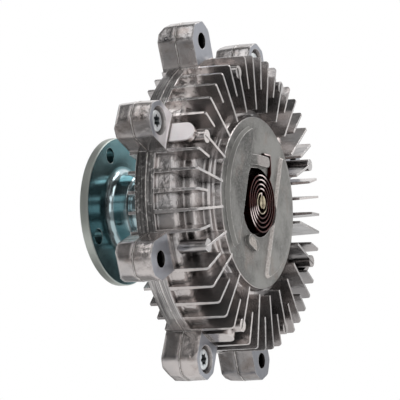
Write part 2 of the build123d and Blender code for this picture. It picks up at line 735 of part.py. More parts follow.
def cover_shell():
    """The cover without its fins and lugs: rim, ledge, two steps and plateau, with cast roundings."""
    rim_walls = (LEDGE_INSET - RIM_RELIEF, COVER_RIM_HEIGHT)
    ledge_walls = (LEDGE_HEIGHT, ledge_radius - step_1_radius)
    step_1_walls = (STEP_1_HEIGHT, STEP_1_WIDTH)
    step_2_walls = (STEP_2_HEIGHT, STEP_2_WIDTH)
    return revolved(
        [
            (split_x - SPIGOT_DEPTH, 0),
            (split_x - SPIGOT_DEPTH, spigot_radius),
            (split_x, spigot_radius),
            (split_x, RIM_RADIUS),
            (cover_rim_x, RIM_RADIUS - RIM_RELIEF, limited(COVER_RIM_ROUND, *rim_walls)),
            (cover_rim_x, ledge_radius, limited(SHELL_ROOT_ROUND, *rim_walls)),
            (ledge_x, ledge_radius - SHELL_RELIEF, limited(LEDGE_ROUND, *ledge_walls)),
            (ledge_x, step_1_radius, limited(SHELL_ROOT_ROUND, *ledge_walls, *step_1_walls)),
            (step_1_x, step_1_radius - SHELL_RELIEF, limited(STEP_1_ROUND, *step_1_walls)),
            (step_1_x, step_2_radius, limited(SHELL_ROOT_ROUND, *step_1_walls, *step_2_walls)),
            (step_2_x, step_2_radius - SHELL_RELIEF, limited(STEP_2_ROUND, *step_2_walls)),
            (step_2_x, PLATEAU_RADIUS + SHELL_RELIEF, limited(SHELL_ROOT_ROUND, *step_2_walls)),
            (plateau_x, PLATEAU_RADIUS, limited(PLATEAU_ROUND, PLATEAU_HEIGHT)),
            (plateau_x, 0),
        ]
    )


def front_cover():
    """Casting in front of the split: stepped shell, fins, pads, plateau and front lug halves."""
    body = cover_shell() + front_fins() + turned(ejector_pad(), lug_angles) + turned(tongue(), screw_lug_angles)
    body += turned(front_lug(), lug_angles)
    body += crescents()
    body += post_ramp()
    body -= pocket()
    body += anchor_post(POST_1_Y, POST_1_Z, POST_1_TILT_ANGLE)
    body += anchor_post(POST_2_Y, POST_2_Z, POST_2_TILT_ANGLE)
    fan_hole = rod(split_x - OVERCUT, lug_front_x + OVERCUT, FAN_HOLE_RADIUS, LUG_CIRCLE)
    screw_hole = rod(split_x - OVERCUT, lug_front_x, SCREW_SHANK_RADIUS + HOLE_CLEARANCE, LUG_CIRCLE)
    counterbore = rod(counterbore_x, tongue_x + TONGUE_WIDTH, COUNTERBORE_RADIUS, LUG_CIRCLE)
    holes = turned(fan_hole, fan_lug_angles) + turned(screw_hole, screw_lug_angles)
    holes += turned(counterbore, screw_lug_angles)
    holes.append(tube(reservoir_x - OVERCUT, pocket_x - SEAL_LIP, bush_radius))
    holes.append(tube(reservoir_x - OVERCUT, pocket_x + OVERCUT, VALVE_SHAFT_RADIUS + SEAL_LIP_CLEARANCE))
    plate_screw = rod(plate_front_x - OVERCUT, plate_screw_end, PLATE_SCREW_RADIUS + THREAD_CLEARANCE, plate_screw_circle)
    holes += turned(plate_screw, evenly(PLATE_SCREW_COUNT))
    holes.append(hook_slot())
    return body - [cover_inside()] - holes


def cover_screws():
    """Screws with a star-shaped socket that join the castings at every second lug."""
    head = rod(counterbore_x, counterbore_x + SCREW_HEAD_HEIGHT, SCREW_HEAD_RADIUS, LUG_CIRCLE)
    head = fillet(head.faces().sort_by(Axis.X)[-1].edges(), limited(SCREW_HEAD_ROUND, SCREW_HEAD_HEIGHT))
    shank = rod(counterbore_x - SCREW_LENGTH, counterbore_x, SCREW_SHANK_RADIUS, LUG_CIRCLE)
    lobe = Pos(0, SOCKET_RADIUS - SOCKET_LOBE_RADIUS) * Circle(SOCKET_LOBE_RADIUS)
    star = Circle(SOCKET_WAIST_RADIUS) + [Rot(0, 0, angle) * lobe for angle in evenly(SOCKET_LOBE_COUNT)]
    socket_x = counterbore_x + SCREW_HEAD_HEIGHT - SOCKET_DEPTH
    socket = extrude(facing_front(socket_x) * Pos(0, LUG_CIRCLE) * star, amount=SOCKET_DEPTH + OVERCUT)
    return Compound(children=turned(head + shank - socket, screw_lug_angles))


def rotor_disc():
    """Disc that the fluid drives against, with rings that stand between those of the cover."""
    disc = tube(bearing_end_x, rotor_front_x, rotor_hub_radius, rotor_seat_radius)
    disc += tube(rotor_rear_x, rotor_front_x, rotor_radius, rotor_seat_radius)
    for n in range(LABYRINTH_COUNT):
        outer = rotor_radius - n * LABYRINTH_PITCH
        disc += labyrinth_ring(outer, rotor_front_x - OVERCUT, rotor_front_x + LABYRINTH_HEIGHT)
    hole = rod(rotor_rear_x - OVERCUT, rotor_front_x + OVERCUT, ROTOR_HOLE_RADIUS, ROTOR_HOLE_CIRCLE)
    return disc - turned(hole, evenly(ROTOR_HOLE_COUNT))


def rotor_washer():
    return tube(
        rotor_front_x,
        rotor_front_x + ROTOR_WASHER_THICKNESS,
        ROTOR_WASHER_RADIUS,
        SHAFT_THREAD_RADIUS + HOLE_CLEARANCE,
    )


def rotor_nut():
    hexagon = RegularPolygon(ROTOR_NUT_FLATS / 2, 6, major_radius=False)
    hexagon -= Circle(SHAFT_THREAD_RADIUS + THREAD_CLEARANCE)
    return extrude(facing_front(nut_x) * hexagon, amount=ROTOR_NUT_HEIGHT)


def partition_plate():
    """Disc that closes the reservoir, with two ports that the valve arm covers when cold."""
    plate = tube(plate_x, plate_front_x, PLATE_RADIUS)
    port = facing_front(plate_x - OVERCUT) * Pos(0, port_circle) * SlotOverall(PORT_LENGTH, PORT_WIDTH)
    port = extrude(port, amount=PLATE_THICKNESS + 2 * OVERCUT)
    hole = rod(plate_x - OVERCUT, plate_front_x + OVERCUT, PLATE_SCREW_RADIUS + HOLE_CLEARANCE, plate_screw_circle)
    sink = rod(plate_x - OVERCUT, plate_x + PLATE_SCREW_SINK, PLATE_SCREW_HEAD + HOLE_CLEARANCE, plate_screw_circle)
    screws = evenly(PLATE_SCREW_COUNT)
    return plate - turned(port, [PORT_ANGLE, PORT_ANGLE + 180]) - turned(hole, screws) - turned(sink, screws)


def plate_screws():
    """Small sunk-head screws that hold the partition plate."""
    head = rod(plate_x, plate_x + PLATE_SCREW_SINK, PLATE_SCREW_HEAD, plate_screw_circle)
    shank = rod(plate_x, plate_screw_end - HOLE_CLEARANCE, PLATE_SCREW_RADIUS, plate_screw_circle)
    return Compound(children=turned(head + shank, evenly(PLATE_SCREW_COUNT)))


def valve_arm():
    """Two-armed spring plate that turns over the ports."""
    tips = [Pos(0, port_circle) * Circle(arm_tip_radius), Pos(0, -port_circle) * Circle(arm_tip_radius)]
    section = Circle(arm_hub_radius) + tips + Rectangle(2 * arm_tip_radius, 2 * port_circle)
    section -= Circle(VALVE_SPIGOT_RADIUS)
    return Rot(X=PORT_ANGLE) * extrude(facing_front(arm_rear_x) * section, amount=ARM_THICKNESS)


def valve_shaft():
    """Slotted shaft from the coil through the cover to the valve arm."""
    shaft = revolved(
        [
            (arm_rear_x, 0),
            (arm_rear_x, VALVE_SPIGOT_RADIUS),
            (arm_front_x, VALVE_SPIGOT_RADIUS),
            (arm_front_x, valve_flange_radius),
            (reservoir_x - VALVE_FLANGE_CLEARANCE, valve_flange_radius),
            (reservoir_x - VALVE_FLANGE_CLEARANCE, VALVE_SHAFT_RADIUS),
            (valve_shaft_x, VALVE_SHAFT_RADIUS),
            (valve_shaft_x, 0),
        ]
    )
    slot = Pos(valve_shaft_x, 0, 0) * Box(
        2 * VALVE_SLOT_DEPTH, COIL_STRIP + 2 * VALVE_SLOT_CLEARANCE, 4 * VALVE_SHAFT_RADIUS
    )
    return shaft - slot


def valve_bush():
    return tube(reservoir_x, bush_front_x, bush_radius, VALVE_SHAFT_RADIUS + SHAFT_CLEARANCE)


def valve_seal_ring():
    """Round cord between the bush and the lip of the bore."""
    centre = (bush_front_x + shaft_seal_radius, 0, VALVE_SHAFT_RADIUS + BUSH_WALL / 2)
    section = Plane(centre, x_dir=(1, 0, 0), z_dir=(0, -1, 0)) * Circle(shaft_seal_radius)
    return revolve(section, Axis.X, 360)


parts = {
    "flange_shaft": flange_shaft(),
    "bearing_inner_ring": bearing_inner_ring(),
    "bearing_outer_ring": bearing_outer_ring(),
    "bearing_balls": Compound(children=balls(BALL_RADIUS)),
    "bearing_cage": bearing_cage(),
    "bearing_seal_rear": bearing_seal(BEARING_X + BEARING_SEAL_INSET),
    "bearing_seal_front": bearing_seal(bearing_end_x - BEARING_SEAL_INSET - BEARING_SEAL_THICKNESS),
    "retaining_ring": retaining_ring(),
    "rotor_disc": rotor_disc(),
    "rotor_washer": rotor_washer(),
    "rotor_nut": rotor_nut(),
    "rear_housing": rear_housing(),
    "housing_seal_ring": housing_seal_ring(),
    "front_cover": front_cover(),
    "cover_screws": cover_screws(),
    "partition_plate": partition_plate(),
    "plate_screws": plate_screws(),
    "valve_arm": valve_arm(),
    "valve_shaft": valve_shaft(),
    "valve_bush": valve_bush(),
    "valve_seal_ring": valve_seal_ring(),
    "bimetal_coil": bimetal_coil(),
}

for name, shape in parts.items():
    shape.label = name
    export_step(shape, f"parts/{name}.step")
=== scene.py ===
import json
import random
from math import atan2, cos, degrees, pi, radians, sin

import bmesh
import bpy
from mathutils import Matrix, Vector


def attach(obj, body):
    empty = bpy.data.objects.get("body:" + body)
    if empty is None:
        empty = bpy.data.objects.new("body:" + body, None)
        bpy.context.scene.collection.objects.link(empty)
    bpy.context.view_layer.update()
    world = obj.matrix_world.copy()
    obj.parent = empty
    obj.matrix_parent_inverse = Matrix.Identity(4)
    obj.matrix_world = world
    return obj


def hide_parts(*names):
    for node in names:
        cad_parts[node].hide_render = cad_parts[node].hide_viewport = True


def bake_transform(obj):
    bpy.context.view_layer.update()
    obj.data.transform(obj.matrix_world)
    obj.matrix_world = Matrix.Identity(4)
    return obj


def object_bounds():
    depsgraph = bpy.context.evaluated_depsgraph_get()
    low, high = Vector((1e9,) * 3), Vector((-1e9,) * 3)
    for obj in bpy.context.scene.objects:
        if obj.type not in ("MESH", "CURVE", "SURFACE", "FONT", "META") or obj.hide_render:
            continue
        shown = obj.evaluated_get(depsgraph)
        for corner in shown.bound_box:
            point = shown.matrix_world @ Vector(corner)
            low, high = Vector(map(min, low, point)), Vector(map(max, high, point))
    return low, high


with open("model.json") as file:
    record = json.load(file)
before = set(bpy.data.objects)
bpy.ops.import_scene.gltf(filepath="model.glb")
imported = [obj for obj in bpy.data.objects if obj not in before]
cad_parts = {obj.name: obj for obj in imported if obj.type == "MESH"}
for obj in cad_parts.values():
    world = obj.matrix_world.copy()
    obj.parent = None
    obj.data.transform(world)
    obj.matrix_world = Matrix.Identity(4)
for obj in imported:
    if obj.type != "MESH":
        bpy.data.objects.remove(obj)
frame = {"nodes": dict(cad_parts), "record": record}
cad_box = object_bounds()
nodes = frame["nodes"]

MM = 0.001

# Camera, in millimetres and degrees, solved from the outlines in the photograph
CAMERA_AZIMUTH = 26.365
CAMERA_ELEVATION = -6.239
CAMERA_ROLL = -0.804
CAMERA_DISTANCE = 929.03
CAMERA_AIM_X = 40.0
CAMERA_RIGHT = 9.311
CAMERA_UP = 4.102
CAMERA_LENS = 157.24
CAMERA_SENSOR = 36.0

# Studio, lengths in metres and the rest as shares
CAMERA_CLIP = (0.05, 50.0)
FLOOR_Z = -0.16
FLOOR_SIZE = 8.0
FLOOR_SHADE = 0.9
FLOOR_SEEN = 0.4
WORLD_DIFFUSE = 0.65
BOARD_ROUGHNESS = 0.9
ON_FLOOR = FLOOR_Z + 0.004
CARD_AIM = (0.04, 0, 0)
LAMP_AIM = (0.05, 0, 0)

# Boards that the metal reflects: name, place, size, shade and what each faces
CARDS = (
    ("card_above", (-0.3, -1.05, 2.4), (7.0, 2.7), 0.05, (-0.3, -1.05, 0)),
    ("card_far_above", (-0.3, 0.95, 2.4), (7.0, 1.3), 0.42, (-0.3, 0.95, 0)),
    ("card_back", (-1.75, 2.6, 0.35), (4.1, 1.1), 0.3, CARD_AIM),
    ("card_left", (-2.3, -2.2, 1.1), (3.2, 2.6), 0.06, CARD_AIM),
    ("card_front", (0.9, -3.0, 1.1), (3.4, 2.6), 0.3, CARD_AIM),
    ("card_floor", (-0.7, -1.55, ON_FLOOR), (4.2, 2.6), 0.3, (-0.7, -1.55, 0)),
    ("card_under", (-0.07, 0.02, ON_FLOOR), (0.15, 0.2), 0.3, (-0.07, 0.02, 0)),
)

# Lamps: name, place, size and power in watts
LAMPS = (
    ("window", (1.0, -2.1, 0.3), (1.3, 0.9), 3.4),
    ("upper_window", (0.9, -1.9, 1.25), (1.3, 0.6), 2.4),
    ("panel", (-0.04, -0.297, 0.505), (0.28, 0.3), 0.4),
    ("top", (0.9, 0.9, 1.6), (0.9, 0.9), 8),
)

# Places on the part, in millimetres and degrees
PLATEAU_X = 84.7
PLATEAU_RADIUS = 45.0
POCKET_RADIUS = 18.1
SPLIT_X = 59.3
LUG_FRONT_X = 69.4
RIM_RADIUS = 77.5
FLANGE_RADIUS = 40.0
FLANGE_THICKNESS = 5.0
TONGUE_TOP = 76.4
SCREW_LUG_ANGLE = 67.5
FAN_LUG_ANGLE = 22.5
LUG_CIRCLE = 88.0
FAN_HOLE_RADIUS = 4.2
EJECTOR_MARK = (53.9, -43.8, 82.1)
STAKED_POST = (86.0, -13.0, -24.0)
COIL_POST = (86.7, 3.0, 22.5)

# Lug outline and the flash along the split, in millimetres and degrees
LUG_COUNT = 8
LUG_PITCH = 360 / LUG_COUNT
LUG_FOOT_HALF = 10.0
LUG_FOOT_SINK = 1.0
LUG_HALF = 10.3
LUG_CROWN_HALF = 4.7
LUG_SHOULDER_RADIUS = 91.4
LUG_CROWN_RADIUS = 98.0
LUG_CORNER_CUT = 1.6
LUG_SOFTNESS = 3.0
FLASH_SIZE = 0.26
FLASH_WANDER = 0.1
FLASH_STEP = 0.7
FLASH_SIDES = 6
FLASH_SEED = 5

# Shares of the flash's size: how uneven it is, and how far it sinks into the castings
FLASH_UNEVEN = (0.2, 1.9)
FLASH_SINK = 0.3

# Bimetal coil, in millimetres and degrees
COIL_STRIP = 0.7
COIL_REAR_X = 80.5
COIL_FRONT_X = 86.5
COIL_INNER = 4.8
COIL_OUTER = 16.0
COIL_HALF_TURNS = 9
COIL_LEAVE = 40.0
COIL_TAB_END = 2.6
COIL_TAB_TOP = COIL_INNER - 0.5
COIL_EDGE = 0.12
COIL_ARC_STEPS = 36
COIL_CLOSEST = 0.05
COIL_SHARP_ANGLE = 30
HOOK_SIDE = 12.2
HOOK_LOW = 16.2
HOOK_TOP = 25.9
HOOK_END = 4.5
HOOK_ROUND = 1.2
CORNER_STEPS = 6

# Where a look starts and is full, in millimetres along the clutch axis
PLATEAU_FRONT = (PLATEAU_X - 0.5, PLATEAU_X - 0.1)
POCKET_DEPTH = (PLATEAU_X - 1.5, PLATEAU_X - 0.2)
RIM_FRONT = (SPLIT_X + 4.0, SPLIT_X + 4.6)
TONGUE_REAR = (LUG_FRONT_X + 0.2, LUG_FRONT_X + 0.6)
LEDGE_FRONT = (70.0, 78.0)
FIN_FRONT = (70.0, 76.0)
UPPER_POST_FOOT = (PLATEAU_X + 0.5, PLATEAU_X + 1.2)
LOWER_POST_FOOT = (PLATEAU_X + 0.3, PLATEAU_X + 0.8)
STEP_TOP = (PLATEAU_X + 0.15, PLATEAU_X + 0.45)
NECK_REAR = (FLANGE_THICKNESS, FLANGE_THICKNESS + 0.6)
COIL_FRONT = (COIL_FRONT_X - 0.6, COIL_FRONT_X - 0.15)

# Where a look starts and is full, in millimetres from the clutch axis
PLATEAU_EDGE = (PLATEAU_RADIUS - 0.6, PLATEAU_RADIUS)
POCKET_EDGE = (POCKET_RADIUS, POCKET_RADIUS + 2.0)
LUG_FOOT = (RIM_RADIUS + 0.8, RIM_RADIUS + 2.5)
LUG_FACE_FOOT = (RIM_RADIUS, RIM_RADIUS + 0.5)
LUG_FACE_INNER = (84.0, 92.0)
TONGUE_EDGE = (TONGUE_TOP - 1.2, TONGUE_TOP - 0.4)
LEDGE_RADIUS = (60.0, 66.0)
SPLIT_EDGE = (RIM_RADIUS - 1.0, RIM_RADIUS - 0.6)
FLANGE_EDGE = (FLANGE_RADIUS - 0.7, FLANGE_RADIUS - 0.2)
NECK_RADIUS = (24.0, 29.0)
COIL_EYE = (COIL_INNER + 0.9, COIL_INNER + 1.6)

# Where a look starts and is full, in millimetres from a place, up, or across
COUNTERBORE_WALL = (7.3, 7.6)
STAKING_REACH = (5.5, 10.0)
UPPER_POST_REACH = (6.5, 8.5)
LOWER_POST_REACH = (4.5, 6.0)
LUG_UNDERSIDE = (29.0, 35.0)
LAND_SIDE = (-6.0, 4.0)
UPPER_CORNER = (66.0, 92.0)
LOWER_CORNER = (50.0, 80.0)
PLATEAU_NEAR_SIDE = (-45.0, 12.0)

# Slope, y over z, of the line between the plateau's darker and lighter sides
PLATEAU_SLANT = 0.45

# Bands with soft edges: low, high and softness, in millimetres
LUG_FACE_BAND = (LUG_FRONT_X - 0.2, LUG_FRONT_X + 0.3, 0.05)
RIM_BAND = (RIM_RADIUS - 0.6, RIM_RADIUS + 0.2, 0.1)
COUNTERBORE_BAND = (LUG_FRONT_X - 6.2, LUG_FRONT_X - 0.1, 0.1)
HOLE_BAND = (LUG_CIRCLE - FAN_HOLE_RADIUS - 0.3, LUG_CIRCLE + FAN_HOLE_RADIUS + 0.3, 0.1)
BEND_BAND = (LUG_SHOULDER_RADIUS - 1.5, LUG_SHOULDER_RADIUS + 1.2, 1.2)
LEDGE_BAND = (SPLIT_X + 4.0, LUG_FRONT_X + 6.0, 1.5)
SPLIT_BAND = (SPLIT_X - 0.45, SPLIT_X + 0.45, 0.15)
EJECTOR_BAND = (0.55, 1.15, 0.15)

# Directions round the clutch axis with how far each reaches, in degrees
TONGUE_WIDTH = (4.0, 4.6)
HOLE_WIDTH = (3.0, 3.2)
NEAR_SCREW = (SCREW_LUG_ANGLE, 35.0)
FAR_TOP_LUG = (-FAN_LUG_ANGLE, 14.0)
UPPER_LEDGE = (43.0, 27.0)
UPPER_FINS = (12.0, 44.0)
DARK_RIM = (90.0, 32.0)
COIL_GLINTS = ((-5.0, 26.0), (128.0, 24.0))

# Reach of the shade in narrow gaps and of rounded edges, in millimetres
WIDE_GAPS = 9.0
SOCKETS = 4.0
CREVICES = 2.5
CAST_EDGE = 0.45
STEEL_EDGE = 0.35
TURNED_EDGE = 0.15
RUBBER_EDGE = 0.1
STRIP_EDGE = 0.12

# Shade in gaps: how open a dark and a bright place are, and the brightness of each
GAP_SHADE = (0.2, 0.75, 0.54, 1.0)
DEEP_GAP_SHADE = (0.1, 0.3, 0.08, 1.0)
CREVICE_SHADE = (0.35, 0.85, 0.4, 1.0)
FLANGE_HOLE_SHADE = (0.35, 0.62, 0.05, 1.0)
SOCKET_SHADE = (0.3, 0.75, 0.12, 1.0)

# Painted light and shade on single places: a brightness, 1 where it is left as it is
FAN_HOLE_LIGHT = 0.05
UPPER_CORNER_LIGHT = 1.2
LOWER_CORNER_LIGHT = 0.62
SHADED_FIN_LIGHT = 0.68
STEP_FOOT_SHADE = 0.35
RIM_LIGHT = 1.1

# Slope of a face, as the part of its normal along the clutch axis
STEP_SLOPE = (0.55, 0.9)
HOLE_SLOPE = (-0.7, 0.7, 0.1)

# How far the rounded normal agrees with the face's own, on an edge and on a face
EDGE_AGREES = (0.86, 0.995)

# Patches of noise: scale, where they start and are full, then detail and roughness
SKIN_PATCHES = (38.0, 0.38, 0.62)
STAIN_PATCHES = ((70.0, 110.0, 110.0), 0.50, 0.70, 4.0, 0.6)
BEND_PATCHES = ((60.0, 240.0, 240.0), 0.42, 0.62, 3.0, 0.6)
LEDGE_GLINT_PATCHES = (200.0, 0.44, 0.56)
SAND_PATCHES = (42.0, 0.38, 0.62, 4.0, 0.62)
SAND_BROWN_PATCHES = (75.0, 0.56, 0.70, 4.0, 0.65)
SAND_SPECK_PATCHES = (1100.0, 0.42, 0.68, 3.0, 0.7)
STAKING_PATCHES = (160.0, 0.40, 0.62, 2.0)
SMUDGE_PATCHES = (1300.0, 0.36, 0.66, 2.0, 0.6)
WORN_HIGHLIGHT_PATCHES = (1500.0, 0.30, 0.66, 2.0, 0.6)
SPARKLE_PATCHES = (480.0, 0.40, 0.60, 2.0)
PLATING_PATCHES = (45.0, 0.35, 0.65)
TURNED_PATCHES = (300.0, 0.35, 0.65)
STRIP_PATCHES = (420.0, 0.35, 0.65)

# Other noise: scale for each axis, for rings about the clutch axis, or scale and detail
STREAKS = (2200.0, 45.0, 45.0)
STRIP_GRAIN = (6000.0, 500.0, 500.0)
PLATED_RINGS = 1900.0
TURNED_RINGS = 2500.0
RIM_SPECKS = (520.0, 2.0)
GRAIN = (1500.0, 3.0)
GLOSS = (260.0, 4.0)
WAVES = (120.0, 2.0)
RIPPLES = (420.0, 3.0)
LEDGE_WAVES = (260.0, 2.0)
STEEL_WAVES = (90.0, 1.0)
RUBBER_SPECKS = (2600.0, 3.0)

# Depth of bumps, in millimetres
WAVE_DEPTH = 0.5
RIPPLE_DEPTH = 0.12
STREAK_DEPTH = 0.12
GRAIN_DEPTH = 0.05
SMUDGE_DEPTH = 0.25
PLATED_RING_DEPTH = 0.008
STEEL_WAVE_DEPTH = 0.05
TURNED_RING_DEPTH = 0.01
RUBBER_DEPTH = 0.03
STRIP_DEPTH = 0.01

# Roughness, one value or a pair that noise moves between
SKIN_ROUGHNESS = (0.14, 0.30)
SAND_ROUGHNESS = (0.48, 0.66)
MACHINED_ROUGHNESS = 0.36
TONGUE_ROUGHNESS = 0.55
PLATED_ROUGHNESS = (0.10, 0.22)
FLANGE_RIM_ROUGHNESS = (0.38, 0.55)
RUBBER_ROUGHNESS = (0.5, 0.75)
STRIP_ROUGHNESS = (0.22, 0.42)
RINGS_SMOOTHER = 0.07
RINGS_ROUGHER = 0.09

# How metallic a casting is in the open and at the painted highlights, painted glints and counterbores
METALLIC = (0.93, 0.5)
LEDGE_GLINT_MATTE = 0.8

# Colours of the castings, one or a pair to mix
SKIN = ((0.64, 0.595, 0.58), (0.49, 0.475, 0.475))
STAIN = (0.33, 0.265, 0.235)
# Painted dark reflection along the lug bends
BEND_REFLECTION_SHADE = (0.20, 0.205, 0.24)
EJECTOR_SHADE = (0.10, 0.10, 0.115)
SPLIT_SHADE = (0.07, 0.055, 0.05)
SAND = ((0.10, 0.098, 0.092), (0.325, 0.32, 0.305))
SAND_BROWN = (0.30, 0.24, 0.21)
SAND_SPECK = (0.36, 0.355, 0.35)
STAKING = ((0.42, 0.39, 0.37), (0.20, 0.16, 0.14))
# Painted highlight on the upper post, broken by smudges
UPPER_POST_HIGHLIGHT = ((0.52, 0.48, 0.46), (0.38, 0.34, 0.33))
LOWER_POST = ((0.66, 0.62, 0.58), (0.34, 0.30, 0.27))
PLAIN_STEP = (0.33, 0.325, 0.31)
# Far step side: speckled wear and a painted highlight
WORN_STEP_HIGHLIGHT = ((0.62, 0.57, 0.53), (0.92, 0.87, 0.84))
# Machined lug faces, with a bluish tint that is a painted reflection
MACHINED_AND_REFLECTED = (0.34, 0.35, 0.385)
RIM = ((0.22, 0.21, 0.21), (0.55, 0.53, 0.52))
# Painted highlight on the tongues and the inner lug faces by the near screw
TONGUE_HIGHLIGHT = (0.95, 0.90, 0.91)
# Painted highlight on rounded edges, broken into sparkle
EDGE_HIGHLIGHT = ((0.58, 0.55, 0.53), (0.98, 0.95, 0.93))
# Painted glints on the ledge
LEDGE_GLINT = (0.95, 0.90, 0.88)
# Painted shade in the coil's pocket
POCKET_SHADE = (0.03, 0.022, 0.02)

# Colours of the plated steel, the rubber and the strip
# Blue-green plating, darkened as a painted dark reflection
PLATING_WITH_DARK_REFLECTION = ((0.085, 0.19, 0.21), (0.15, 0.27, 0.29))
# Painted highlight on the neck
NECK_HIGHLIGHT = ((0.42, 0.54, 0.57), (0.60, 0.73, 0.77))
FLANGE_RIM = (0.57, 0.60, 0.56)
PLATED_EDGE = (0.62, 0.70, 0.70)
RUBBER = ((0.012, 0.012, 0.013), (0.035, 0.035, 0.036))
STRIP = ((0.034, 0.006, 0.006), (0.075, 0.015, 0.013))
# Painted highlight on the innermost turn
STRIP_EYE_HIGHLIGHT = (0.52, 0.46, 0.34)
STRIP_EDGE_COLOR = (0.42, 0.31, 0.25)
STRIP_GLINT = (0.95, 0.80, 0.78)

# Turned and ground metals: darker colour, brighter colour and roughness
TURNED_METALS = {
    "rotor_aluminium": ((0.60, 0.60, 0.61), (0.70, 0.70, 0.71), 0.3),
    "bearing_steel": ((0.55, 0.55, 0.56), (0.66, 0.66, 0.67), 0.16),
    "cage_steel": ((0.42, 0.42, 0.42), (0.52, 0.52, 0.52), 0.32),
    "spring_steel": ((0.10, 0.10, 0.105), (0.18, 0.18, 0.185), 0.4),
    "screw_steel": ((0.58, 0.62, 0.64), (0.82, 0.85, 0.85), 0.4),
    "plate_steel": ((0.52, 0.52, 0.52), (0.62, 0.62, 0.62), 0.28),
    "shaft_brass": ((0.16, 0.12, 0.07), (0.60, 0.53, 0.36), 0.26),
    "bush_bronze": ((0.45, 0.30, 0.14), (0.58, 0.42, 0.22), 0.45),
}
FLASH_METAL = ((0.62, 0.59, 0.57), (0.85, 0.82, 0.80), 0.3)


def camera():
    azimuth = radians(CAMERA_AZIMUTH)
    elevation = radians(CAMERA_ELEVATION)
    roll = radians(CAMERA_ROLL)
    back = Vector((sin(azimuth) * cos(elevation), -cos(azimuth) * cos(elevation), sin(elevation)))
    level_right = Vector((cos(azimuth), sin(azimuth), 0))
    level_up = back.cross(level_right)
    right = cos(roll) * level_right + sin(roll) * level_up
    up = -sin(roll) * level_right + cos(roll) * level_up
    place = Vector((CAMERA_AIM_X, 0, 0)) + right * CAMERA_RIGHT + up * CAMERA_UP + back * CAMERA_DISTANCE
    data = bpy.data.cameras.new("camera")
    data.lens = CAMERA_LENS
    data.sensor_width = CAMERA_SENSOR
    data.clip_start, data.clip_end = CAMERA_CLIP
    made = bpy.data.objects.new("camera", data)
    bpy.context.scene.collection.objects.link(made)
    made.matrix_world = Matrix.Translation(place * MM) @ Matrix((right, up, back)).transposed().to_4x4()
    bpy.context.scene.camera = made


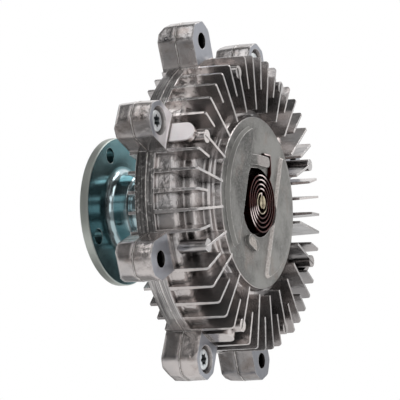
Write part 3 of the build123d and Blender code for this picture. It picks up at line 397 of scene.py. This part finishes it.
class Finish:
    """One material. A value that goes into a node may be a number, a colour or another node's output."""

    def __init__(self, name, color=(0.5, 0.5, 0.5), metallic=0.0, roughness=0.5):
        self.material = bpy.data.materials.new(name)
        self.material.use_nodes = True
        self.tree = self.material.node_tree
        self.shader = self.tree.nodes["Principled BSDF"]
        self.set("Base Color", (*color, 1))
        self.set("Metallic", metallic)
        self.set("Roughness", roughness)
        self.place = self.node("ShaderNodeTexCoord").outputs["Object"]
        split = self.node("ShaderNodeSeparateXYZ")
        self.link(self.place, split.inputs[0])
        self.x = split.outputs["X"]
        self.y = split.outputs["Y"]
        self.z = split.outputs["Z"]

    def node(self, kind, **settings):
        made = self.tree.nodes.new(kind)
        for key, value in settings.items():
            setattr(made, key, value)
        return made

    def link(self, value, socket):
        if isinstance(value, bpy.types.NodeSocket):
            self.tree.links.new(value, socket)
        else:
            socket.default_value = value

    def set(self, name, value):
        self.link(value, self.shader.inputs[name])

    def math(self, operation, first, second=0.0):
        made = self.node("ShaderNodeMath", operation=operation)
        self.link(first, made.inputs[0])
        self.link(second, made.inputs[1])
        return made.outputs[0]

    def both(self, first, *others):
        """The product of two or more values."""
        for other in others:
            first = self.math("MULTIPLY", first, other)
        return first

    def most(self, first, *others):
        """The largest of two or more values."""
        for other in others:
            first = self.math("MAXIMUM", first, other)
        return first

    def minus(self, first, second):
        return self.math("SUBTRACT", first, second)

    def ramp(self, value, low, high, at_low=0.0, at_high=1.0):
        made = self.node("ShaderNodeMapRange", interpolation_type="SMOOTHSTEP", clamp=True)
        self.link(value, made.inputs["Value"])
        made.inputs["From Min"].default_value = low
        made.inputs["From Max"].default_value = high
        made.inputs["To Min"].default_value = at_low
        made.inputs["To Max"].default_value = at_high
        return made.outputs["Result"]

    def rise(self, value, start, full, at_start=0.0, at_full=1.0):
        """A ramp between two places in millimetres."""
        return self.ramp(value, start * MM, full * MM, at_start, at_full)

    def fall(self, value, start, end, at_end=0.0):
        """1 up to the first of two places in millimetres, and less from the second."""
        return self.rise(value, start, end, 1.0, at_end)

    def inside(self, value, low, high, soft):
        """1 between two values and 0 outside them."""
        rising = self.ramp(value, low - soft, low + soft)
        falling = self.ramp(value, high - soft, high + soft, 1.0, 0.0)
        return self.both(rising, falling)

    def band(self, value, low, high, soft):
        """1 between two places in millimetres and 0 outside them."""
        return self.inside(value, low * MM, high * MM, soft * MM)

    def from_axis(self):
        """Distance from the clutch axis, in metres."""
        squares = self.math("ADD", self.math("POWER", self.y, 2.0), self.math("POWER", self.z, 2.0))
        return self.math("SQRT", squares)

    def around(self):
        """The angle round the clutch axis, in radians, 0 at the top and growing towards -Y."""
        return self.math("ARCTAN2", self.both(self.y, -1.0), self.z)

    def every_quarter(self, angle):
        """A wave round the clutch axis, 1 at an angle in degrees and every quarter turn from it."""
        return self.math("COSINE", self.minus(self.both(self.around(), 4.0), 4 * radians(angle)))

    def at_lugs(self, angle, full, end):
        """1 within full degrees of an angle and of each quarter turn from it, and 0 from end degrees."""
        return self.ramp(self.every_quarter(angle), cos(4 * radians(end)), cos(4 * radians(full)))

    def toward(self, angle, half):
        """1 at an angle round the clutch axis, in degrees, falling to 0 at half degrees from it."""
        wave = self.math("COSINE", self.minus(self.around(), radians(angle)))
        return self.ramp(wave, cos(radians(half)), 1.0)

    def from_screws(self, radius):
        """Distance from the axis of the nearest cover screw, in metres."""
        outward = self.math("POWER", self.minus(radius, LUG_CIRCLE * MM), 2.0)
        wave = self.minus(1.0, self.every_quarter(SCREW_LUG_ANGLE))
        across = self.both(wave, (LUG_CIRCLE * MM) ** 2 / 8)
        return self.math("SQRT", self.math("ADD", outward, across))

    def distance(self, place):
        """How far a point lies from a place that is given in millimetres, in metres."""
        made = self.node("ShaderNodeVectorMath", operation="DISTANCE")
        self.link(self.place, made.inputs[0])
        made.inputs[1].default_value = [v * MM for v in place]
        return made.outputs["Value"]

    def facing_x(self):
        """The part of the face's own normal that lies along the clutch axis."""
        split = self.node("ShaderNodeSeparateXYZ")
        self.link(self.node("ShaderNodeNewGeometry").outputs["Normal"], split.inputs[0])
        return split.outputs["X"]

    def stretched(self, scale):
        """The place with each axis scaled by itself."""
        made = self.node("ShaderNodeVectorMath", operation="MULTIPLY")
        self.link(self.place, made.inputs[0])
        made.inputs[1].default_value = scale
        return made.outputs[0]

    def turning(self, radius, scale):
        """A place for noise that changes along the axis and the radius but not round the axis."""
        made = self.node("ShaderNodeCombineXYZ")
        self.link(self.both(self.x, scale), made.inputs["X"])
        self.link(self.both(radius, scale), made.inputs["Y"])
        return made.outputs[0]

    def noise(self, scale, detail=2.0, place=None, rough=0.5):
        made = self.node("ShaderNodeTexNoise")
        self.link(self.place if place is None else place, made.inputs["Vector"])
        made.inputs["Scale"].default_value = scale
        made.inputs["Detail"].default_value = detail
        made.inputs["Roughness"].default_value = rough
        return made.outputs[0]

    def patches(self, scale, low, high, detail=3.0, rough=0.5):
        """Noise as patches of 0 and 1 with soft edges. A scale for each axis stretches them."""
        if isinstance(scale, tuple):
            found = self.noise(1.0, detail, self.stretched(scale), rough)
        else:
            found = self.noise(scale, detail, rough=rough)
        return self.ramp(found, low, high)

    def scaled(self, color, share):
        made = self.node("ShaderNodeVectorMath", operation="SCALE")
        self.link(color, made.inputs[0])
        self.link(share, made.inputs["Scale"])
        return made.outputs[0]

    def mix(self, share, first, second):
        """A colour between two others."""
        made = self.node("ShaderNodeMix", data_type="RGBA")
        self.link(share, made.inputs["Factor"])
        for value, socket in ((first, made.inputs[6]), (second, made.inputs[7])):
            self.link((*value, 1) if isinstance(value, tuple) else value, socket)
        return made.outputs[2]

    def blend(self, share, first, second):
        """A number between two others."""
        made = self.node("ShaderNodeMix", data_type="FLOAT")
        self.link(share, made.inputs["Factor"])
        self.link(first, made.inputs[2])
        self.link(second, made.inputs[3])
        return made.outputs[0]

    def bevel(self, radius):
        """A normal that rounds every edge by a radius in millimetres."""
        made = self.node("ShaderNodeBevel", samples=6)
        made.inputs["Radius"].default_value = radius * MM
        return made.outputs["Normal"]

    def edges(self, rounded):
        """1 on edges, where the rounded normal leaves the face's own, and 0 on faces."""
        own = self.node("ShaderNodeNewGeometry").outputs["Normal"]
        made = self.node("ShaderNodeVectorMath", operation="DOT_PRODUCT")
        self.link(rounded, made.inputs[0])
        self.link(own, made.inputs[1])
        return self.ramp(made.outputs["Value"], *EDGE_AGREES, 1.0, 0.0)

    def hollows(self, reach):
        """Near 0 in gaps and corners narrower than a reach in millimetres, and 1 in the open."""
        made = self.node("ShaderNodeAmbientOcclusion", samples=8)
        made.inputs["Distance"].default_value = reach * MM
        return made.outputs["AO"]

    def bump(self, height, depth, normal, strength=1.0):
        """A normal with bumps, up to a depth in millimetres, laid over another normal."""
        made = self.node("ShaderNodeBump")
        self.link(height, made.inputs["Height"])
        self.link(strength, made.inputs["Strength"])
        made.inputs["Distance"].default_value = depth * MM
        self.link(normal, made.inputs["Normal"])
        return made.outputs["Normal"]


class Casting(Finish):
    """Cast aluminium. The shares say, from 0 to 1, where each look of a casting is."""

    def __init__(self, name):
        super().__init__(name, metallic=1.0)
        self.radius = self.from_axis()
        self.rounded = self.bevel(CAST_EDGE)
        self.smudge = self.patches(*SMUDGE_PATCHES)
        self.streaks = self.noise(1.0, 3.0, self.stretched(STREAKS))
        self.find_cover()
        self.find_lugs()
        self.find_ledge()

    def find_cover(self):
        """Shares of the plateau, the steps and posts on it, and the coil's pocket. The upper post gets a
        painted highlight and the pocket painted shade.
        """
        self.plateau = self.both(self.rise(self.x, *PLATEAU_FRONT), self.fall(self.radius, *PLATEAU_EDGE))
        self.steps = self.both(self.plateau, self.ramp(self.facing_x(), *STEP_SLOPE, 1.0, 0.0))
        self.pocket = self.both(self.fall(self.radius, *POCKET_EDGE), self.fall(self.x, *POCKET_DEPTH))
        beside_post = self.distance(STAKED_POST)
        self.staking = self.both(
            self.fall(beside_post, *STAKING_REACH),
            self.patches(*STAKING_PATCHES),
        )
        self.lower_post = self.both(
            self.fall(beside_post, *LOWER_POST_REACH),
            self.rise(self.x, *LOWER_POST_FOOT),
        )
        # Where the upper post gets its painted highlight
        self.upper_post_highlight = self.both(
            self.fall(self.distance(COIL_POST), *UPPER_POST_REACH),
            self.rise(self.x, *UPPER_POST_FOOT),
        )

    def find_lugs(self):
        """Shares of the lugs, their faces, bores and bends, and the tongues beside them, which carry a
        painted highlight.
        """
        self.lug = self.rise(self.radius, *LUG_FOOT)
        self.off_lugs = self.minus(1.0, self.lug)
        self.lug_face = self.both(self.band(self.x, *LUG_FACE_BAND), self.rise(self.radius, *LUG_FACE_FOOT))
        self.near_screw = self.toward(*NEAR_SCREW)
        tongue_highlight = self.both(
            self.rise(self.x, *TONGUE_REAR),
            self.rise(self.radius, *TONGUE_EDGE),
            self.at_lugs(SCREW_LUG_ANGLE, *TONGUE_WIDTH),
            self.near_screw,
        )
        # The inner lug faces here share the tongues' painted highlight
        inner_face = self.both(
            self.lug_face,
            self.near_screw,
            self.rise(self.radius, *LUG_FACE_INNER, 0.95, 0.0),
        )
        self.tongue_highlight = self.most(tongue_highlight, inner_face)
        self.counterbore = self.both(
            self.fall(self.from_screws(self.radius), *COUNTERBORE_WALL),
            self.band(self.x, *COUNTERBORE_BAND),
        )
        self.fan_hole = self.both(
            self.band(self.radius, *HOLE_BAND),
            self.inside(self.facing_x(), *HOLE_SLOPE),
            self.at_lugs(FAN_LUG_ANGLE, *HOLE_WIDTH),
        )
        self.bend = self.both(
            self.band(self.radius, *BEND_BAND),
            self.patches(*BEND_PATCHES),
        )

    def find_ledge(self):
        """Shares of the split, the rim, and the ledge that the fins stand on, with painted glints on the
        ledge.
        """
        self.joint = self.both(self.band(self.x, *SPLIT_BAND), self.rise(self.radius, *SPLIT_EDGE))
        self.rim = self.both(self.band(self.radius, *RIM_BAND), self.fall(self.x, *RIM_FRONT))
        self.ledge = self.both(self.band(self.x, *LEDGE_BAND), self.rise(self.radius, *LEDGE_RADIUS))
        self.ledge_glints = self.both(
            self.ledge,
            self.off_lugs,
            self.toward(*UPPER_LEDGE),
            self.patches(*LEDGE_GLINT_PATCHES),
        )

    def skin_color(self):
        """Tumbled die-cast skin with stains, a painted dark reflection along the lug bends, an ejector's
        mark and the dark split.
        """
        color = self.mix(self.patches(*SKIN_PATCHES), *SKIN)
        stain = self.patches(*STAIN_PATCHES)
        color = self.mix(self.both(stain, self.blend(self.lug, 0.3, 0.6)), color, STAIN)
        # Painted dark reflection along the lug bends, strongest on the far top lug
        bend = self.both(self.bend, self.blend(self.toward(*FAR_TOP_LUG), 0.7, 0.15))
        color = self.mix(bend, color, BEND_REFLECTION_SHADE)
        mark = self.band(self.distance(EJECTOR_MARK), *EJECTOR_BAND)
        color = self.mix(self.both(mark, 0.8), color, EJECTOR_SHADE)
        return self.mix(self.both(self.joint, 0.85), color, SPLIT_SHADE)

    def sand_color(self):
        """The plateau's sandy grey, browner in patches and smudged about the posts, with a painted
        highlight on the upper post.
        """
        slanted = self.minus(self.y, self.both(self.z, PLATEAU_SLANT))
        near_side = self.rise(slanted, *PLATEAU_NEAR_SIDE)
        cloud = self.patches(*SAND_PATCHES)
        color = self.mix(self.blend(0.35, cloud, near_side), *SAND)
        color = self.mix(self.both(self.patches(*SAND_BROWN_PATCHES), 0.4), color, SAND_BROWN)
        color = self.mix(self.both(self.patches(*SAND_SPECK_PATCHES), 0.5), color, SAND_SPECK)
        for share, amount, pair in (
            (self.staking, 0.6, STAKING),
            (self.upper_post_highlight, 0.7, UPPER_POST_HIGHLIGHT),
            (self.lower_post, 0.85, LOWER_POST),
        ):
            color = self.mix(self.both(share, amount), color, self.mix(self.smudge, *pair))
        return color

    def step_color(self):
        """The sides of the raised crescents. The far one is lighter, partly from wear and partly a painted
        highlight, fading to painted shade at its foot.
        """
        lighter_color = self.mix(self.patches(*WORN_HIGHLIGHT_PATCHES), *WORN_STEP_HIGHLIGHT)
        # Painted shade towards the foot of the step
        lighter_color = self.scaled(lighter_color, self.rise(self.x, *STEP_TOP, STEP_FOOT_SHADE, 1.0))
        return self.mix(self.rise(self.y, *LAND_SIDE), PLAIN_STEP, lighter_color)

    def rim_color(self):
        """Streaks along the rim, with a painted dark reflection on its near side broken by lighter specks,
        and painted light elsewhere.
        """
        color = self.mix(self.ramp(self.streaks, 0.35, 0.65), *RIM)
        # Painted dark reflection on the near side with lighter specks, painted light elsewhere
        specks = self.ramp(self.noise(*RIM_SPECKS), 0.52, 0.66, 0.55, 1.3)
        return self.scaled(color, self.blend(self.toward(*DARK_RIM), RIM_LIGHT, specks))

    def shade(self):
        """Painted shade in gaps, crevices and fan-bolt holes, on the upper fins, on the lugs' lower parts
        by the near screw and towards the far lower side, with painted light on the upper near corner behind
        the ledge. The counterbores get none of it.
        """
        wide = self.hollows(WIDE_GAPS)
        dark = self.both(self.ramp(wide, *GAP_SHADE), self.ramp(wide, *DEEP_GAP_SHADE))
        # Painted light on the upper near corner behind the ledge
        corner = self.both(
            self.rise(self.minus(self.z, self.y), *UPPER_CORNER),
            self.off_lugs,
            self.fall(self.x, *LEDGE_FRONT, 0.15),
        )
        dark = self.blend(self.both(corner, 0.8), dark, UPPER_CORNER_LIGHT)
        # Painted shade inside the fan-bolt holes
        dark = self.both(dark, self.blend(self.fan_hole, 1.0, FAN_HOLE_LIGHT))
        # Painted shade on the upper fins, below the lugs by the near screw and towards the far lower side
        above = self.both(self.toward(*UPPER_FINS), self.rise(self.x, *FIN_FRONT))
        below = self.both(self.lug, self.near_screw, self.fall(self.z, *LUG_UNDERSIDE))
        side_shade = self.both(
            self.fall(self.minus(self.y, self.z), *LOWER_CORNER, LOWER_CORNER_LIGHT),
            self.blend(above, 1.0, SHADED_FIN_LIGHT),
            self.blend(below, 1.0, SHADED_FIN_LIGHT),
        )
        dark = self.both(dark, self.blend(self.plateau, side_shade, 1.0))
        # Painted shade in crevices
        dark = self.both(dark, self.ramp(self.hollows(CREVICES), *CREVICE_SHADE))
        return self.most(dark, self.counterbore)

    def color(self):
        color = self.mix(self.plateau, self.skin_color(), self.sand_color())
        color = self.mix(self.steps, color, self.step_color())
        # Machined lug faces with a painted bluish reflection
        color = self.mix(self.lug_face, color, MACHINED_AND_REFLECTED)
        color = self.mix(self.rim, color, self.rim_color())
        # Painted highlight on the tongues
        color = self.mix(self.tongue_highlight, color, TONGUE_HIGHLIGHT)
        # Painted highlight on the rounded edges
        sparkle = self.patches(*SPARKLE_PATCHES)
        color = self.mix(self.edges(self.rounded), color, self.mix(sparkle, *EDGE_HIGHLIGHT))
        # Painted glints on the ledge below the upper fins
        color = self.mix(self.both(self.ledge_glints, 0.9), self.scaled(color, self.shade()), LEDGE_GLINT)
        # Painted shade in the coil's pocket
        return self.mix(self.pocket, color, POCKET_SHADE)

    def roughness(self, grain):
        rough = self.blend(self.noise(*GLOSS), *SKIN_ROUGHNESS)
        rough = self.blend(self.plateau, rough, self.blend(grain, *SAND_ROUGHNESS))
        rough = self.blend(self.lug_face, rough, MACHINED_ROUGHNESS)
        return self.blend(self.tongue_highlight, rough, TONGUE_ROUGHNESS)

    def normal(self, grain):
        """Waves and ripples in the skin, deeper ones on the ledge, streaks on the rim and sandy grain."""
        skin = self.minus(1.0, self.most(self.plateau, self.lug_face))
        soft = self.mix(self.both(self.lug, skin), self.rounded, self.bevel(LUG_SOFTNESS))
        normal = self.bump(self.noise(*WAVES), WAVE_DEPTH, soft, self.both(skin, 0.7))
        ripples = self.noise(*RIPPLES, rough=0.55)
        normal = self.bump(ripples, RIPPLE_DEPTH, normal, self.both(skin, 0.5))
        normal = self.bump(self.noise(*LEDGE_WAVES), WAVE_DEPTH, normal, self.both(self.ledge, 0.6))
        normal = self.bump(self.both(self.streaks, self.rim), STREAK_DEPTH, normal)
        normal = self.bump(grain, GRAIN_DEPTH, normal, self.blend(self.plateau, 0.08, 1.0))
        return self.bump(self.smudge, SMUDGE_DEPTH, normal, self.both(self.staking, self.plateau))


def cast_aluminium():
    """Bright die-cast skin, wavy and slightly warm, with a sand-cast plateau and machined lug faces."""
    finish = Casting("cast_aluminium")
    grain = finish.noise(*GRAIN)
    less_metallic = finish.most(finish.tongue_highlight, finish.counterbore, finish.both(finish.ledge_glints, LEDGE_GLINT_MATTE))
    finish.set("Base Color", finish.color())
    finish.set("Metallic", finish.blend(less_metallic, *METALLIC))
    finish.set("Roughness", finish.roughness(grain))
    finish.set("Normal", finish.normal(grain))
    return finish.material


def plated_steel():
    """Turned steel with a blue-green passivation darkened as a painted dark reflection, a painted highlight
    on the neck, a lighter flange edge and painted shade in the holes.
    """
    finish = Finish("plated_steel", metallic=1.0)
    radius = finish.from_axis()
    rounded = finish.bevel(STEEL_EDGE)
    outer = finish.rise(radius, *FLANGE_EDGE)
    # Where the neck gets its painted highlight
    neck = finish.both(finish.fall(radius, *NECK_RADIUS), finish.rise(finish.x, *NECK_REAR))
    cloud = finish.patches(*PLATING_PATCHES)
    color = finish.mix(neck, finish.mix(cloud, *PLATING_WITH_DARK_REFLECTION), finish.mix(cloud, *NECK_HIGHLIGHT))
    color = finish.mix(outer, color, FLANGE_RIM)
    color = finish.mix(finish.edges(rounded), color, PLATED_EDGE)
    # Painted shade in the holes
    holes = finish.ramp(finish.hollows(WIDE_GAPS), *FLANGE_HOLE_SHADE)
    finish.set("Base Color", finish.scaled(color, holes))
    grooves = finish.noise(1.0, 2.0, finish.turning(radius, PLATED_RINGS))
    bright = finish.blend(grooves, *PLATED_ROUGHNESS)
    finish.set("Roughness", finish.blend(outer, bright, finish.blend(grooves, *FLANGE_RIM_ROUGHNESS)))
    normal = finish.bump(grooves, PLATED_RING_DEPTH, rounded)
    finish.set("Normal", finish.bump(finish.noise(*STEEL_WAVES), STEEL_WAVE_DEPTH, normal))
    return finish.material


def turned_metal(name, low, high, roughness):
    """Lathe-turned or ground metal with fine rings about the clutch axis, lighter on its edges, with
    painted shade in sockets and recesses.
    """
    finish = Finish(name, metallic=1.0)
    rounded = finish.bevel(TURNED_EDGE)
    rings = finish.noise(1.0, 2.0, finish.turning(finish.from_axis(), TURNED_RINGS))
    color = finish.mix(finish.patches(*TURNED_PATCHES), low, high)
    lighter_color = tuple(min(1.0, 1.5 * c) for c in high)
    color = finish.mix(finish.both(finish.edges(rounded), 0.6), color, lighter_color)
    # Painted shade in sockets and recesses
    sockets = finish.ramp(finish.hollows(SOCKETS), *SOCKET_SHADE)
    finish.set("Base Color", finish.scaled(color, sockets))
    smoother, rougher = roughness - RINGS_SMOOTHER, roughness + RINGS_ROUGHER
    finish.set("Roughness", finish.blend(rings, smoother, rougher))
    finish.set("Normal", finish.bump(rings, TURNED_RING_DEPTH, rounded))
    return finish.material


def black_rubber():
    finish = Finish("black_rubber")
    speck = finish.noise(*RUBBER_SPECKS)
    finish.set("Base Color", finish.mix(speck, *RUBBER))
    finish.set("Roughness", finish.blend(speck, *RUBBER_ROUGHNESS))
    finish.set("Normal", finish.bump(speck, RUBBER_DEPTH, finish.bevel(RUBBER_EDGE)))
    return finish.material


def bimetal_strip():
    """Rolled strip, dark copper red, with edges showing wear, a painted highlight on the innermost turn and
    two painted glints.
    """
    finish = Finish("bimetal_strip", metallic=1.0)
    rounded = finish.bevel(STRIP_EDGE)
    color = finish.mix(finish.patches(*STRIP_PATCHES), *STRIP)
    color = finish.mix(finish.fall(finish.from_axis(), *COIL_EYE), color, STRIP_EYE_HIGHLIGHT)
    color = finish.mix(finish.both(finish.edges(rounded), 0.26), color, STRIP_EDGE_COLOR)
    glint = finish.most(*(finish.toward(*direction) for direction in COIL_GLINTS))
    glint = finish.both(finish.rise(finish.x, *COIL_FRONT), glint)
    finish.set("Base Color", finish.mix(glint, color, STRIP_GLINT))
    grain = finish.noise(1.0, 2.0, finish.stretched(STRIP_GRAIN))
    finish.set("Roughness", finish.blend(grain, *STRIP_ROUGHNESS))
    finish.set("Normal", finish.bump(grain, STRIP_DEPTH, rounded))
    return finish.material


def skin_rings(mesh, rings):
    """Faces between rings of points, closed at both ends."""
    count = len(rings[0])
    for first, second in zip(rings, rings[1:]):
        for k in range(count):
            m = (k + 1) % count
            mesh.faces.new((first[k], first[m], second[m], second[k]))
    mesh.faces.new(list(reversed(rings[0])))
    mesh.faces.new(rings[-1])


def piece(name, mesh, material):
    """A smooth object from a mesh in the making."""
    bmesh.ops.recalc_face_normals(mesh, faces=mesh.faces)
    data = bpy.data.meshes.new(name)
    mesh.to_mesh(data)
    mesh.free()
    for face in data.polygons:
        face.use_smooth = True
    data.materials.append(material)
    made = bpy.data.objects.new(name, data)
    bpy.context.scene.collection.objects.link(made)
    return made


def rounded_corner(before, corner, after, radius):
    """Points of an arc in place of a corner."""
    corner = Vector(corner)
    to_before = (Vector(before) - corner).normalized()
    to_after = (Vector(after) - corner).normalized()
    start = corner + to_before * radius
    end = corner + to_after * radius
    return [
        tuple((1 - t) ** 2 * start + 2 * t * (1 - t) * corner + t * t * end)
        for t in (i / CORNER_STEPS for i in range(CORNER_STEPS + 1))
    ]


def arc_points(n, sweep):
    """Points of the coil's half-turn number n, as (y, z)."""
    step = (COIL_OUTER - COIL_INNER) / (COIL_HALF_TURNS + 0.5)
    side = 1 if n % 2 == 0 else -1
    radius = COIL_INNER + (n + 0.5) * step
    first = 0 if side > 0 else 180
    angles = [radians(first + sweep * i / COIL_ARC_STEPS) for i in range(COIL_ARC_STEPS + 1)]
    return [(-radius * sin(angle), -side * step / 2 + radius * cos(angle)) for angle in angles]


def coil_line():
    """The middle line of the strip, from the tab in the shaft to the hooked end, as (y, z)."""
    line = [(0.0, -COIL_TAB_END), (0.0, 0.0), (0.0, COIL_TAB_TOP)]
    for n in range(COIL_HALF_TURNS):
        line += arc_points(n, 180)
    line += arc_points(COIL_HALF_TURNS, 180 - COIL_LEAVE)
    low = (HOOK_SIDE, HOOK_LOW)
    top = (HOOK_SIDE, HOOK_TOP)
    end = (HOOK_END, HOOK_TOP)
    line += rounded_corner(line[-1], low, top, HOOK_ROUND)
    line += rounded_corner(low, top, end, HOOK_ROUND)
    line.append(end)
    clean = [Vector(line[0])]
    for point in line[1:]:
        if (Vector(point) - clean[-1]).length > COIL_CLOSEST:
            clean.append(Vector(point))
    return clean


def bimetal_coil():
    """The strip as one ribbon. Each point's share of the coil's length, from the tab to the hook, is worked
    out but not used.
    """
    line = coil_line()
    half = COIL_STRIP / 2
    section = [
        (COIL_REAR_X, half - COIL_EDGE),
        (COIL_REAR_X + COIL_EDGE, half),
        (COIL_FRONT_X - COIL_EDGE, half),
        (COIL_FRONT_X, half - COIL_EDGE),
        (COIL_FRONT_X, COIL_EDGE - half),
        (COIL_FRONT_X - COIL_EDGE, -half),
        (COIL_REAR_X + COIL_EDGE, -half),
        (COIL_REAR_X, COIL_EDGE - half),
    ]
    lengths = [0.0]
    for before, here in zip(line, line[1:]):
        lengths.append(lengths[-1] + (here - before).length)
    tab = COIL_TAB_END + COIL_INNER
    hook = lengths[-1] - (HOOK_SIDE - HOOK_END) - (HOOK_TOP - HOOK_LOW)
    mesh = bmesh.new()
    rings = []
    shares = []
    for i, here in enumerate(line):
        before = line[max(i - 1, 0)]
        after = line[min(i + 1, len(line) - 1)]
        along = (after - before).normalized()
        across = Vector((-along.y, along.x))
        rings.append([mesh.verts.new((x * MM, *((here + across * d) * MM))) for x, d in section])
        share = 1 - min(max((lengths[i] - tab) / (hook - tab), 0.0), 1.0)
        shares += [share] * len(section)
    skin_rings(mesh, rings)
    made = piece("coil_strip", mesh, bimetal_strip())
    made.data.set_sharp_from_angle(angle=radians(COIL_SHARP_ANGLE))
    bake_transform(made)
    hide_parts("bimetal_coil")


def lug_outline():
    """One lug's outline at the split, as (across, outward), from one foot to the other."""
    half = [
        (LUG_FOOT_HALF, RIM_RADIUS - LUG_FOOT_SINK),
        (LUG_HALF, LUG_SHOULDER_RADIUS),
        (LUG_CROWN_HALF, LUG_CROWN_RADIUS),
    ]
    corners = [(-across, outward) for across, outward in half] + list(reversed(half))
    line = [Vector(corners[0])]
    for before, corner, after in zip(corners, corners[1:], corners[2:]):
        line += [Vector(point) for point in rounded_corner(before, corner, after, LUG_CORNER_CUT)]
    return line + [Vector(corners[-1])]


def rim_outline():
    """The rim's outline at the split between one lug and the next, as (across, outward)."""
    foot = degrees(atan2(LUG_FOOT_HALF, RIM_RADIUS))
    sweep = LUG_PITCH - 2 * foot
    count = int(radians(sweep) * RIM_RADIUS / FLASH_STEP)
    angles = [radians(foot + sweep * i / count) for i in range(count + 1)]
    return [Vector((RIM_RADIUS * sin(angle), RIM_RADIUS * cos(angle))) for angle in angles]


def evenly_spaced(line, step):
    """Points along a line of straight runs, a step apart."""
    made = [line[0]]
    left = step
    for before, after in zip(line, line[1:]):
        run = (after - before).length
        done = left
        while done <= run:
            made.append(before + (after - before) * (done / run))
            done += step
        left = done - run
    return made


def flash_ring(mesh, here, outward, turn, size, wander):
    """One ring of the flash, kept inside the CAD model's box."""
    low, high = cad_box
    ring = []
    for k in range(FLASH_SIDES):
        angle = 2 * pi * k / FLASH_SIDES
        place = here + outward * (size * sin(angle) - FLASH_SINK * FLASH_SIZE)
        y = -(place.x * cos(turn) + place.y * sin(turn))
        z = place.y * cos(turn) - place.x * sin(turn)
        y = min(max(y * MM, low[1]), high[1])
        z = min(max(z * MM, low[2]), high[2])
        ring.append(mesh.verts.new(((SPLIT_X + wander + size * cos(angle)) * MM, y, z)))
    return ring


def parting_flash():
    """The thin uneven bead that the two dies leave along their split, round each lug and along the rim."""
    draw = random.Random(FLASH_SEED)
    lines = (evenly_spaced(lug_outline(), FLASH_STEP), rim_outline())
    mesh = bmesh.new()
    for n in range(LUG_COUNT):
        turn = radians(LUG_PITCH * (n + 0.5))
        for line in lines:
            rings = []
            size = FLASH_SIZE
            for i, here in enumerate(line):
                along = (line[min(i + 1, len(line) - 1)] - line[max(i - 1, 0)]).normalized()
                outward = Vector((-along.y, along.x))
                if outward.dot(here) < 0:
                    outward = -outward
                size = 0.5 * size + 0.5 * draw.uniform(*FLASH_UNEVEN) * FLASH_SIZE
                wander = draw.uniform(-FLASH_WANDER, FLASH_WANDER)
                rings.append(flash_ring(mesh, here, outward, turn, size, wander))
            skin_rings(mesh, rings)
    made = piece("parting_flash", mesh, turned_metal("flash", *FLASH_METAL))
    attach(made, "housing")


def seen_rays(tree):
    """1 for rays from the camera, off gloss and through glass, and 0 for all other light."""
    path = tree.nodes.new("ShaderNodeLightPath")
    seen = path.outputs["Is Camera Ray"]
    for name in ("Is Glossy Ray", "Is Transmission Ray"):
        most = tree.nodes.new("ShaderNodeMath")
        most.operation = "MAXIMUM"
        tree.links.new(seen, most.inputs[0])
        tree.links.new(path.outputs[name], most.inputs[1])
        seen = most.outputs[0]
    return seen


def floor():
    """A pale floor, whiter to the camera and in metal than to other light. It keeps the shadow."""
    bpy.ops.mesh.primitive_plane_add(size=FLOOR_SIZE, location=(0, 0, FLOOR_Z))
    made = bpy.context.object
    made.name = "floor"
    material = bpy.data.materials.new("floor")
    material.use_nodes = True
    tree = material.node_tree
    shader = tree.nodes["Principled BSDF"]
    shader.inputs["Base Color"].default_value = (FLOOR_SHADE, FLOOR_SHADE, FLOOR_SHADE, 1)
    shader.inputs["Roughness"].default_value = BOARD_ROUGHNESS
    share = tree.nodes.new("ShaderNodeMath")
    share.operation = "MULTIPLY"
    tree.links.new(seen_rays(tree), share.inputs[0])
    share.inputs[1].default_value = FLOOR_SEEN
    light = tree.nodes.new("ShaderNodeEmission")
    mixed = tree.nodes.new("ShaderNodeMixShader")
    tree.links.new(share.outputs[0], mixed.inputs[0])
    tree.links.new(shader.outputs[0], mixed.inputs[1])
    tree.links.new(light.outputs[0], mixed.inputs[2])
    tree.links.new(mixed.outputs[0], tree.nodes["Material Output"].inputs["Surface"])
    made.data.materials.append(material)


def studio_world():
    """White to the camera and in metal, and softer for what it lights."""
    world = bpy.data.worlds.new("studio")
    world.use_nodes = True
    tree = world.node_tree
    background = tree.nodes["Background"]
    background.inputs["Color"].default_value = (1, 1, 1, 1)
    strength = tree.nodes.new("ShaderNodeMapRange")
    tree.links.new(seen_rays(tree), strength.inputs["Value"])
    strength.inputs["To Min"].default_value = WORLD_DIFFUSE
    tree.links.new(strength.outputs["Result"], background.inputs["Strength"])
    bpy.context.scene.world = world


def card(name, place, size, shade, aim):
    """A board that the metal reflects and the camera doesn't see."""
    bpy.ops.mesh.primitive_plane_add(size=1.0, location=place)
    made = bpy.context.object
    made.name = name
    made.scale = (*size, 1)
    made.rotation_mode = "QUATERNION"
    made.rotation_quaternion = (Vector(aim) - Vector(place)).to_track_quat("Z", "Y")
    made.data.materials.append(Finish(name, (shade, shade, shade), roughness=BOARD_ROUGHNESS).material)
    made.visible_camera = False
    made.visible_shadow = False
    made.visible_diffuse = False


def lamp(name, place, size, power):
    data = bpy.data.lights.new(name, "AREA")
    data.shape = "RECTANGLE"
    data.size, data.size_y = size
    data.energy = power
    made = bpy.data.objects.new(name, data)
    bpy.context.scene.collection.objects.link(made)
    made.location = place
    made.rotation_mode = "QUATERNION"
    made.rotation_quaternion = (Vector(LAMP_AIM) - Vector(place)).to_track_quat("-Z", "Y")
    made.visible_camera = False


camera()
studio_world()
floor()
for row in CARDS:
    card(*row)
for row in LAMPS:
    lamp(*row)
bpy.context.scene.view_settings.view_transform = "Standard"

finishes = {name: turned_metal(name, *looks) for name, looks in TURNED_METALS.items()}
finishes["cast_aluminium"] = cast_aluminium()
finishes["plated_steel"] = plated_steel()
finishes["black_rubber"] = black_rubber()
for row in frame["record"]["subparts"]:
    finish = finishes.get(row["material_slot"])
    if finish is not None:
        data = nodes[row["node"]].data
        data.materials.clear()
        data.materials.append(finish)

bimetal_coil()
parting_flash()
